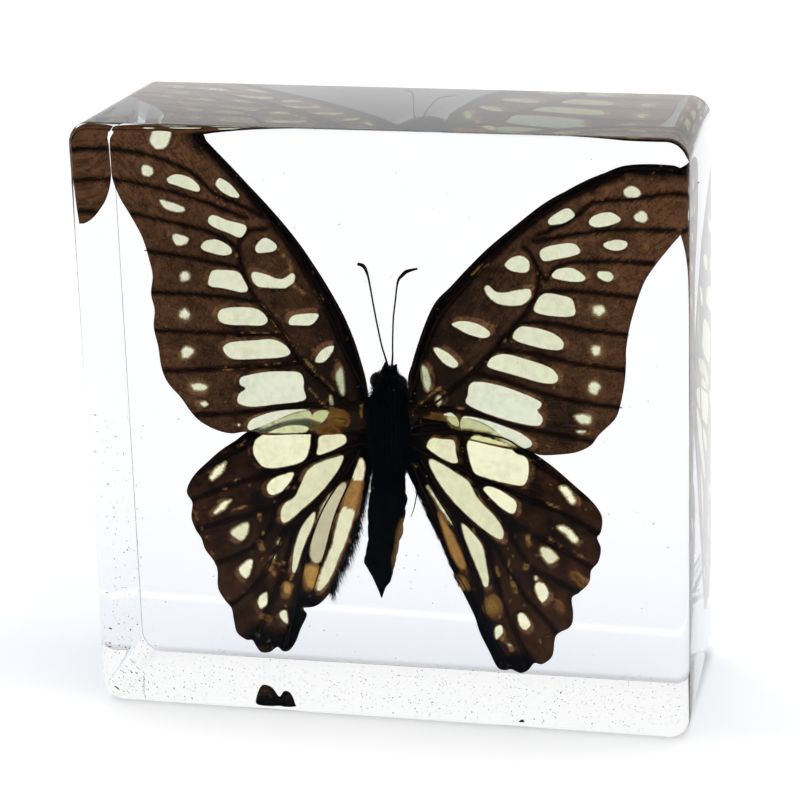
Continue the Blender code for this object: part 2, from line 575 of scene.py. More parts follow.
def tubes(name, lines, depth_at=None):
    """Fine round tubes along smooth lines. Each line has its widths in mm, evenly spread along it,
    and its points, which hold their own depth where no depth is worked out for them."""
    data = bpy.data.curves.new(name, "CURVE")
    data.dimensions = "3D"
    data.bevel_depth = MM / 2
    data.bevel_resolution = 1
    data.use_fill_caps = True
    for widths, points in lines:
        line = smooth_line(points, closed=False, steps=6)
        places = brought_forward(line[:, :2], depth_at(line) if depth_at else line[:, 2])
        spline = data.splines.new("POLY")
        spline.points.add(len(places) - 1)
        along = np.linspace(0, len(widths) - 1, len(places))
        for point, place, width in zip(spline.points, places,
                                       np.interp(along, range(len(widths)), widths)):
            point.co = (*place, 1.0)
            point.radius = width
    piece = bpy.data.objects.new(name, data)
    bpy.context.scene.collection.objects.link(piece)
    bpy.ops.object.select_all(action="DESELECT")
    piece.select_set(True)
    bpy.context.view_layer.objects.active = piece
    bpy.ops.object.convert(target="MESH")
    piece = bpy.context.object
    mend_normals(piece)
    return piece


def left_forewing_depth(spots):
    """How deep this wing lies, in mm: it slants back to its tip, which lies against the back."""
    x, z = spots.T
    tucked = 0.1 * np.clip(-30 - x, 0, None)
    return np.clip(-0.17 - 0.0084 * x + 0.7337 * z - 0.00595 * z ** 2, 14.0, 23.2) + tucked


def right_forewing_depth(spots):
    """How deep this wing lies, in mm: it comes forward towards its tip."""
    x, z = spots.T
    return np.clip(29.04 - 0.0841 * x - 0.4575 * z + 0.0033 * z ** 2, 10.2, 18.5)


left_forewing_ribs = [
    ((0.5, 0.3), [(-5.2, 37.4), (-5.8, 41), (-7.7, 47), (-12.1, 55), (-17.3, 61.7), (-25.2, 70.1),
        (-31, 73.9)]),
    ((VEIN, 0.2), [(-5.6, 36.6), (-7.8, 36.3), (-11, 39.2), (-13.4, 41.6), (-16.6, 46.6), (-19, 49.6),
        (-20.3, 52.5), (-21, 56)]),
    ((VEIN, 0.2), [(-5.6, 38.4), (-8.2, 44), (-9.7, 48), (-12.3, 53), (-14.9, 57.4), (-19.5, 63.3),
        (-23.2, 67.6), (-27.5, 71.8)]),
    ((0.28, VEIN_TIP), [(-6, 35.8), (-9, 35.9), (-13, 35.9), (-18, 35.1), (-22, 34.4), (-27.5, 33.9)]),
    ((0.26, VEIN_TIP), [(-13.4, 41.6), (-16.5, 41), (-20, 40.6), (-26, 40), (-31.5, 39.6)]),
    ((0.26, VEIN_TIP), [(-15.6, 45), (-20, 44.9), (-26, 44.9), (-32.1, 44.9)]),
    ((0.26, VEIN_TIP), [(-18.5, 49.2), (-22, 49.6), (-27, 49.8), (-32.3, 49.9)]),
    ((0.26, VEIN_TIP), [(-20.4, 53.4), (-25, 54.2), (-29, 54.8), (-33, 55.3)]),
    ((0.24, VEIN_TIP), [(-20.8, 56), (-24, 57.8), (-29, 59), (-34.3, 60)]),
    ((0.24, VEIN_TIP), [(-19.6, 59.9), (-25, 61.8), (-30, 63.2), (-36.2, 64.4)]),
    ((0.24, VEIN_TIP), [(-17.6, 60.2), (-20.4, 61.5), (-23.6, 62.9), (-26, 65.2), (-28.8, 66.6),
        (-32, 67.6), (-36.2, 68.2)]),
    ((0.22, 0.16), [(-21, 56), (-20.4, 57.2), (-19.2, 58.3), (-17.2, 58.6)])]
left_forewing = wing_sheet(
    "left_forewing",
    outline=[(-4.6, 36.0), (-5.2, 37.8), (-5.65, 39.5), (-5.6, 41), (-6.25, 43), (-7.45, 47),
        (-9.45, 51), (-11.85, 55), (-14, 58.1), (-17, 61.7), (-20.9, 65.9), (-25, 70.3), (-28.6, 73.6),
        (-31, 74.1), (-33, 73.9), (-34.2, 73), (-35.8, 71.2), (-36.58, 69.3), (-36.62, 66.8),
        (-36.55, 64.4), (-35.7, 61.9), (-34.7, 60.1), (-33.2, 57.1), (-32.4, 54), (-32.1, 52),
        (-32.45, 49.7), (-32.1, 47.6), (-32.35, 45.3), (-31.9, 42.7), (-31.65, 40), (-30.9, 38),
        (-29.3, 36.1), (-28.2, 34.4), (-27, 33.1), (-25, 32.05), (-23, 31.65), (-21.3, 31.95),
        (-20, 31.9), (-18.25, 31.65), (-15, 31.9), (-13, 32), (-9, 32.25), (-6, 33.0), (-4.4, 34.2)],
    panes=[
        (CREAM, 0.3, [(-31.5, 70.2), (-31.4, 69), (-30.6, 68.3), (-29.4, 68.6), (-28.95, 69.8),
            (-29.5, 70.9), (-30.8, 70.9)]),
        (CREAM, 0.3, [(-32.6, 66.2), (-31.5, 66.1), (-31.2, 65.4), (-31.8, 64.8), (-32.7, 65.1)]),
        (CREAM, 0.25, [(-30.6, 61.9), (-29.2, 61.6), (-27.6, 61.05), (-27.6, 60.45), (-29, 60.4),
            (-30.2, 60.9)]),
        (CREAM, 0.25, [(-29.2, 57.5), (-28.2, 57.5), (-27.2, 57), (-27.6, 56.3), (-28.7, 56.1),
            (-29.25, 56.8)]),
        (CREAM, HAZY, [(-28.4, 52.6), (-27.7, 52.8), (-27.2, 52.3), (-27.6, 51.6), (-28.5, 51.5)]),
        (CREAM, HAZY, [(-28.9, 47.5), (-28.2, 47.85), (-27.55, 47.3), (-27.9, 46.5), (-28.8, 46.7)]),
        (CREAM, HAZY, [(-28.8, 42.6), (-28, 42.95), (-27.25, 42.5), (-27.7, 41.7), (-28.8, 41.4)]),
        (CREAM, HAZY, [(-27.9, 38), (-26.8, 38.25), (-25.7, 37.8), (-26.2, 37.2), (-27.6, 37.2)]),
        (CREAM, 0.3, [(-26.9, 35.5), (-26.2, 35.85), (-25.8, 35.4), (-26.4, 35)]),
        (CREAM, 0.2, [(-22.1, 33.05), (-21.7, 33), (-21.75, 32.6), (-22.1, 32.7)]),
        (CREAM, SHARP, [(-29.5, 64.7), (-28.3, 65.2), (-26.8, 64.9), (-25.6, 64), (-25.5, 63.1),
            (-26.6, 63.2), (-28.5, 63.8), (-29.4, 64.1)]),
        (CREAM, SHARP, [(-23.35, 64.2), (-22.8, 64.9), (-21.6, 64.2), (-20.4, 62.8), (-20.8, 62.4),
            (-22.2, 62.85), (-23.2, 63.7)]),
        (CREAM, SHARP, [(-24.6, 59.2), (-24, 60.15), (-22, 59.5), (-19.9, 59), (-19.8, 58.2),
            (-20.6, 57.35), (-22.2, 57.95), (-23.7, 58.5)]),
        (CREAM, SHARP, [(-18.7, 56.2), (-17.8, 57.3), (-16.9, 57.3), (-15.95, 56.5), (-16.3, 55.8),
            (-17.6, 55.5), (-18.5, 55.5)]),
        (CREAM, SHARP, [(-25.7, 56), (-25, 56.8), (-23.6, 57), (-22, 56.2), (-21.8, 55.3), (-23, 55),
            (-25, 55.45)]),
        (CREAM, SHARP, [(-24.9, 51.8), (-24.3, 53), (-22.6, 53.1), (-21, 52.9), (-20.2, 51.6),
            (-19.9, 50.7), (-20.6, 50.3), (-22.8, 50.7), (-24.8, 51)]),
        (CREAM, SHARP, [(-23.7, 47.8), (-22.6, 48.25), (-20, 48.4), (-18.4, 48), (-17.55, 46.9),
            (-18.2, 46.15), (-20, 46.05), (-23, 46.1), (-23.95, 46.8)]),
        (CREAM, SHARP, [(-23.5, 42.9), (-22.4, 43.75), (-19.2, 44.15), (-17, 44.35), (-15.4, 43.6),
            (-14.85, 42.6), (-16, 42.05), (-19.2, 41.7), (-22.4, 41.6)]),
        (MINT, SHARP, [(-21.5, 39), (-20.8, 39.4), (-18, 40.05), (-15.2, 40.25), (-13.7, 40.1),
            (-13.25, 39.2), (-13.3, 38), (-13.05, 36.8), (-14, 36.3), (-17, 35.8), (-20, 35.35),
            (-21.9, 35.75), (-21.7, 37), (-20.8, 37.7), (-21.5, 38.2)]),
        (MINT, SHARP, [(-20.8, 32.5), (-20.4, 33.5), (-19, 34.25), (-17, 34.9), (-14.6, 35.25),
            (-13, 35.3), (-12.5, 34.8), (-12.6, 33.6), (-13, 32.5), (-14, 32.15), (-17, 31.98),
            (-20, 32.1)]),
        (CREAM, SHARP, [(-12.2, 34.8), (-11.3, 35.3), (-10.2, 35.2), (-10.6, 34.2), (-11.5, 33.3),
            (-12.6, 32.5), (-12.45, 33.8)]),
        (CREAM, 0.16, [(-19.4, 52.5), (-19, 53.05), (-17.8, 52.85), (-16.2, 52.3), (-15.3, 52.25),
            (-14.4, 52.95), (-13.85, 52.85), (-13.95, 51.9), (-15, 51.1), (-16.6, 51), (-18.4, 51.1),
            (-19.1, 51.6)]),
        (CREAM, SHARP, [(-14.85, 46.4), (-14.5, 47.4), (-13.2, 47.8), (-11.1, 47.9), (-11.3, 47.1),
            (-12.1, 46.4), (-13.6, 46.3)]),
        (CREAM, 0.14, [(-11.7, 41.9), (-10.8, 43.2), (-9.3, 43.9), (-9.45, 43), (-10.4, 41.8),
            (-11.3, 41.5)]),
        (LEAF, 0.35, [(-8.35, 41.2), (-8.1, 40), (-8, 38.2), (-8.4, 37.4), (-9, 38.8), (-9.1, 40.2)]),
        (LEAF, 0.25, [(-10.05, 37.3), (-9.7, 37.2), (-9.6, 35.9), (-9.95, 35.9)]),
        (OLIVE, FADED, [(-10, 35.2), (-8.2, 35), (-7.8, 33.8), (-9.6, 33.6)]),
        (OLIVE, FADED, [(-11.4, 33), (-9.6, 33.1), (-9.2, 32.3), (-11, 32.2)])],
    ribs=left_forewing_ribs, depth_at=left_forewing_depth, root=(-5.0, 36.5),
    costa=[
        [(-5.2, 37.8), (-5.6, 41), (-7.45, 47), (-11.85, 55), (-17, 61.7), (-25, 70.3), (-31, 74.1)]],
    scrape_and_highlight_lines=[
        (0.16, [(-15.3, 55.3), (-15.1, 55.1)]), (0.18, [(-14.6, 54.7), (-14.2, 53.8)]),
        (0.09, [(-15.9, 56.1), (-14.7, 55.1), (-14.4, 53.5), (-14.6, 52.2)]),
        (0.1, [(-16.9, 54.1), (-16.7, 53.9)]), (0.2, [(-14, 51.4), (-13.3, 50.7), (-12.7, 50.5)]),
        (0.12, [(-11.3, 51.1), (-10.8, 50.2), (-10.4, 49.6)]), (0.1, [(-15.1, 48.3), (-14.9, 48.1)]),
        (0.1, [(-16.5, 47.6), (-16.3, 47.4)]),
        (0.09, [(-18.6, 49.2), (-17.3, 47.4), (-15.9, 45.4), (-14.2, 43.4), (-12.2, 40.8), (-9.3, 37.8)]),
        (0.07, [(-14.9, 44.1), (-13, 42.1), (-11.2, 39.8)]),
        (0.07, [(-24.6, 40), (-21.6, 40.3), (-18.9, 40.8), (-16.3, 41.2), (-14.4, 41.4)]),
        (0.07, [(-21, 45.1), (-18.5, 45), (-16.4, 45.3)]), (0.12, [(-21.2, 55.1), (-21, 54.9)]),
        (0.08, [(-23.4, 61.9), (-22.9, 61.4), (-22.1, 61.6)]),
        (0.1, [(-12.6, 38.2), (-11.1, 36.4), (-10.1, 35.4)]), (0.08, [(-31.2, 49.2), (-31, 49)]),
        (0.08, [(-30.4, 48.4), (-30.2, 48.2)]), (0.08, [(-32, 52.3), (-31.9, 52.1)]),
        (0.12, [(-10.3, 34.6), (-8.6, 33.9), (-7.8, 33.4)]),
        (0.14, [(-5.9, 36.4), (-6.1, 34.6), (-6.2, 33)])])
# The far brown is lightened in part by painted glow, light through the thinner wing.
forewing_skin = scaled_membrane("forewing_scales", near=paint(66, 48, 36),
                                far=paint(186, 130, 90), lead=paint(2, 3, 12),
                                dark=paint(6, 4, 5), tinge=(0.97, 0.98, 0.87, 1.0))
left_forewing.data.materials.append(forewing_skin)
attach(left_forewing, "root")

right_forewing_ribs = [
    ((0.5, 0.3), [(0.2, 37.6), (0.9, 42), (3.5, 49), (6.1, 52.1), (10.1, 56.3), (18.1, 63), (26, 67.2),
        (34, 67.9)]),
    ((VEIN, 0.2), [(0.6, 36.6), (3, 36.7), (6, 39.1), (8.8, 41.6), (12.4, 45.8), (15.3, 49.4),
        (16.6, 52.2), (16.9, 54.4)]),
    ((VEIN, 0.2), [(0.6, 38.4), (2.5, 44.2), (4.3, 48.2), (7.9, 52.6), (11.1, 56), (16.4, 60.9),
        (21.6, 64.3), (27, 66.8)]),
    ((0.28, VEIN_TIP), [(1.2, 35.8), (4, 36.2), (8, 35.9), (12, 34.75), (17, 33.8), (23.2, 32.9)]),
    ((0.26, VEIN_TIP), [(8.8, 41), (12, 40.4), (16, 39.1), (21, 38), (26.9, 37.4)]),
    ((0.26, VEIN_TIP), [(11.4, 44.2), (16, 43.9), (21, 42.9), (27.2, 42.3)]),
    ((0.26, VEIN_TIP), [(14.8, 47.8), (18, 47.9), (23, 47.2), (27.8, 46.8)]),
    ((0.26, VEIN_TIP), [(17, 51.8), (21, 52.1), (25, 51.9), (28.8, 51.6)]),
    ((0.24, VEIN_TIP), [(17.6, 53.4), (20, 55.5), (25, 56), (30.8, 56)]),
    ((0.24, VEIN_TIP), [(16.4, 58.2), (21, 59.2), (26, 60), (33.6, 60.2)]),
    ((0.24, VEIN_TIP), [(16.8, 59), (19.4, 60.2), (21.7, 61.6), (23.4, 63.2), (27.3, 63.8), (31, 64.4),
        (36, 65.3)]),
    ((0.22, 0.16), [(17.6, 53.4), (16.8, 54.6), (15.9, 56.5), (15, 57.4)])]
right_forewing = wing_sheet(
    "right_forewing",
    outline=[(-0.3, 36), (0.1, 38), (0.1, 40.1), (0.7, 42), (2, 45.1), (3.4, 49.2), (4.4, 50.6),
        (6, 52.3), (10, 56.6), (14, 60.1), (18, 63.3), (22, 65.5), (26, 67.5), (28, 68.1), (31, 68.3),
        (34, 68.1), (35.2, 67.3), (35.5, 65), (35.2, 62.3), (33.9, 59.5), (32.8, 58), (31.2, 55.9),
        (29.8, 53.7), (28.8, 51), (27.95, 48), (27.45, 45), (27.4, 43), (27.2, 40.6), (26.6, 37.5),
        (25.9, 35.8), (24, 33.8), (23, 32.4), (21.6, 31.55), (20, 31.1), (16.8, 30.75), (15, 31.2),
        (12.85, 31.3), (10.4, 31.7), (7.4, 32.25), (3.6, 32.3), (0.6, 33.4), (-0.4, 34.6)],
    panes=[
        (CREAM, 0.25, [(27.3, 65), (28.4, 65.55), (29.4, 64.8), (28.9, 64.1), (27.6, 64.2)]),
        (CREAM, 0.25, [(28.6, 62), (29.6, 62.5), (30.25, 61.7), (29.7, 61), (28.7, 61.3)]),
        (CREAM, SHARP, [(24.9, 58.3), (26.4, 58.8), (27.7, 58.5), (27.4, 57.7), (26.2, 57.4),
            (25, 57.7)]),
        (DULL, 0.3, [(29.2, 57.8), (29.8, 57.7), (29.6, 57.3)]),
        (CREAM, 0.16, [(24, 54.6), (25.4, 54.75), (26.05, 54.1), (25.4, 53.45), (24.3, 53.8)]),
        (CREAM, HAZY, [(23.4, 50.2), (24.5, 50.5), (24.9, 49.7), (24.2, 49), (23.5, 49.4)]),
        (CREAM, HAZY, [(23.1, 45.1), (24.1, 45.2), (24.3, 44.3), (23.5, 44)]),
        (CREAM, HAZY, [(22.7, 40.2), (23.6, 40.65), (24.25, 40), (23.7, 39), (22.9, 39.2)]),
        (CREAM, HAZY, [(21, 36.1), (22.2, 36.4), (23.1, 35.9), (22.6, 35.05), (21.4, 35.2)]),
        (CREAM, 0.3, [(21.1, 34.2), (22.3, 34.2), (22, 33.8), (21.3, 33.9)]),
        (CREAM, SHARP, [(23.1, 61.1), (23.9, 61.8), (25.6, 62.2), (26.95, 61.4), (26.2, 60.75),
            (24.2, 60.25), (23.2, 60.5)]),
        (CREAM, SHARP, [(18.1, 61), (19.2, 61.9), (20.5, 62.5), (21.35, 61.7), (20.4, 60.8), (19, 60.4),
            (18.2, 60.4)]),
        (CREAM, SHARP, [(17.05, 57.1), (18.2, 57.7), (21, 58.15), (21.95, 57.2), (21.2, 56.6),
            (18.8, 56), (17.5, 55.75), (17, 56.4)]),
        (CREAM, SHARP, [(12.6, 55.2), (13.4, 56), (14.6, 56.35), (15.6, 55.7), (15.6, 54.6),
            (14.9, 54.15), (13.4, 54.4), (12.75, 54.8)]),
        (CREAM, SHARP, [(18.4, 54.1), (19.2, 54.85), (21, 55), (22.5, 54), (22.2, 53.4), (20.6, 53.3),
            (18.8, 53.6)]),
        (CREAM, SHARP, [(16.1, 49.7), (16.7, 51), (17.6, 51.7), (19.6, 51.5), (20.9, 51), (21.25, 49.4),
            (20.6, 48.85), (18.8, 48.8), (16.6, 49.1)]),
        (CREAM, SHARP, [(13.4, 46), (14.2, 47.2), (15.8, 47.3), (18, 46.8), (19.5, 45.9), (19.7, 44.9),
            (18.8, 44.45), (16.4, 44.75), (14, 45.4)]),
        (CREAM, SHARP, [(10.15, 42.2), (10.9, 43.3), (12.6, 43.7), (15.2, 43.1), (18, 42.2), (19, 41),
            (18.5, 40.2), (16.8, 40.2), (13.6, 41), (10.8, 41.7)]),
        (MINT, SHARP, [(7.8, 39.4), (8.6, 39.95), (11, 39.75), (14, 38.9), (16.6, 37.8), (16.75, 37),
            (16.3, 36.6), (16.95, 35.6), (16.6, 34.65), (15.2, 34.6), (12.1, 35.2), (9, 36.2),
            (7.35, 37.1), (7.6, 38.2)]),
        (CREAM, 0.16, [(4.35, 35.35), (5.4, 35.75), (6.2, 35.1), (6.4, 34), (5.4, 34.3)]),
        (MINT, SHARP, [(6.8, 35.2), (8, 35.35), (10, 34.95), (12.1, 34.3), (14, 33.6), (15.4, 32.6),
            (15.5, 31.9), (14.4, 31.5), (11.5, 31.8), (7.6, 32.5), (6.7, 33.4)]),
        (CREAM, 0.16, [(10, 52), (10.5, 52.5), (11.4, 51.7), (12.6, 51.6), (14.4, 52.05), (15.7, 52.1),
            (15.7, 51), (14.6, 50.1), (13, 49.9), (11.6, 50.15), (10.5, 51)]),
        (CREAM, SHARP, [(5.8, 47.3), (7.2, 47.75), (9.2, 47.4), (10.6, 46.4), (10, 45.65), (8, 46),
            (6.4, 46.8)]),
        (CREAM, 0.14, [(3.45, 44.2), (5, 43.7), (6.5, 42.3), (6, 41.6), (4.8, 42.1), (3.8, 43.2)]),
        (LEAF, 0.35, [(1.9, 41.8), (2.6, 41.3), (3, 39.6), (2.6, 38.3), (2.1, 38.9), (1.9, 40.4)]),
        (LEAF, 0.3, [(3.5, 37.5), (4, 38), (4.35, 37.5), (3.9, 36.5)]),
        (OLIVE, FADED, [(3.2, 35.4), (4.4, 35.2), (4.2, 34.4), (3.2, 34.6)]),
        (OLIVE, FADED, [(2.2, 34.6), (4.4, 34.4), (4.6, 33.4), (2.6, 33.4)])],
    ribs=right_forewing_ribs, depth_at=right_forewing_depth, root=(0.0, 36.5),
    costa=[
        [(0.1, 38), (0.7, 42), (3.4, 49.2), (6, 52.3), (10, 56.6), (18, 63.3), (26, 67.5), (34, 68.1)]],
    scrape_and_highlight_lines=[
        (0.2, [(8.7, 53.8), (9.7, 54.7), (10.8, 55.5)]), (0.1, [(0.9, 36.2), (2.6, 37.7), (4.2, 39.1)]),
        (0.07, [(7.4, 41.1), (8.9, 42.5)]), (0.1, [(12.3, 45.2), (12.6, 45.6)]),
        (0.12, [(29.2, 57.8), (29.8, 57.5)]), (0.08, [(18.7, 50.1), (20.6, 50.3)]),
        (0.08, [(6.1, 36.4), (7.2, 36.3)]), (0.08, [(14.4, 33.2), (16, 32.7)])])
right_forewing.data.materials.append(forewing_skin)
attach(right_forewing, "root")


# Forewing veins: hollow ribs that carry the membrane. One vein each side of the cell runs out
# from the root, and a fan of side veins leaves it and parts the rows of panes.
left_forewing_veins = tubes("left_forewing_veins", left_forewing_ribs, left_forewing_depth)
right_forewing_veins = tubes("right_forewing_veins", right_forewing_ribs, right_forewing_depth)
vein_material, vein_look, vein_shader = surface("vein_shell")
vein_place = vein_look.node("ShaderNodeTexCoord", {}, {}, "Object")
vein_grain = vein_look.node("ShaderNodeTexNoise", {}, {"Vector": vein_place, "Scale": 900.0})
vein_look.feed(vein_shader.inputs["Base Color"],
               vein_look.blend(vein_grain, paint(14, 10, 12), paint(62, 38, 22)))
vein_look.feed(vein_shader.inputs["Roughness"], 0.45 + vein_grain * 0.3)
vein_shader.inputs["Specular IOR Level"].default_value = SEALED_GLOSS
for veins in (left_forewing_veins, right_forewing_veins):
    veins.data.materials.append(vein_material)
    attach(veins, "root")


# The hindwings: the same membrane, set just behind the forewings, with a toothed outer edge. Long
# panes run down between the veins, and the fold along the body is cream above and tan below.
BEHIND = 0.35


def left_hindwing_depth(spots):
    """How deep this wing lies, in mm: it runs back outwards and downwards."""
    x, z = spots.T
    return 17.9 + BEHIND + 0.085 * (-5 - x) + 0.01 * (30 - z)


def right_hindwing_depth(spots):
    """How deep this wing lies, in mm: it comes forward outwards."""
    x, z = spots.T
    return 16.7 + BEHIND - 0.06 * x


left_hindwing_ribs = [
    ((0.4, 0.2), [(-5.4, 33.6), (-7.4, 34.2), (-9.6, 34.3)]),
    ((VEIN, VEIN_TIP), [(-5.2, 32.6), (-8, 33), (-12.2, 33.4), (-17, 33.1), (-20.6, 30.6), (-25.2, 27.6),
        (-27.4, 26.2)]),
    ((VEIN, VEIN_TIP), [(-5.2, 31.4), (-7.9, 30.6), (-12.2, 28.9), (-15.5, 27.2), (-19.4, 26), (-23.6, 24.6),
        (-28.6, 22.4)]),
    ((0.3, VEIN_TIP), [(-12.2, 32.9), (-12, 30.6), (-12.3, 28.9)]),
    ((0.28, VEIN_TIP), [(-14.6, 26.9), (-16.4, 23.4), (-19, 21.6), (-23, 20.2), (-28.3, 18.4)]),
    ((0.28, VEIN_TIP), [(-15.2, 24.9), (-17.2, 22.8), (-18.3, 19.6), (-20.8, 16.4), (-23, 15.2),
        (-26, 13.8)]),
    ((0.28, VEIN_TIP), [(-13.4, 21.6), (-16.2, 19.2), (-17.7, 16.4), (-19.4, 12.8), (-21.8, 10.2),
        (-24.4, 8.2)]),
    ((0.28, VEIN_TIP), [(-7.2, 29.6), (-10.4, 25), (-13.1, 22.1), (-14.9, 19.5), (-16, 16.2), (-17.3, 12.4),
        (-19.4, 7.6), (-21.2, 3.2)]),
    ((0.3, VEIN_TIP), [(-6.4, 30), (-9.2, 25.8), (-11.7, 21.6), (-13.7, 16.2), (-15, 11), (-16.2, 6.4),
        (-17.4, 2.6)]),
    ((0.3, VEIN_TIP), [(-6.3, 30.4), (-7.7, 26.4), (-9.9, 21.4), (-11.5, 16), (-13.2, 10.8), (-13.7, 8.8)])]
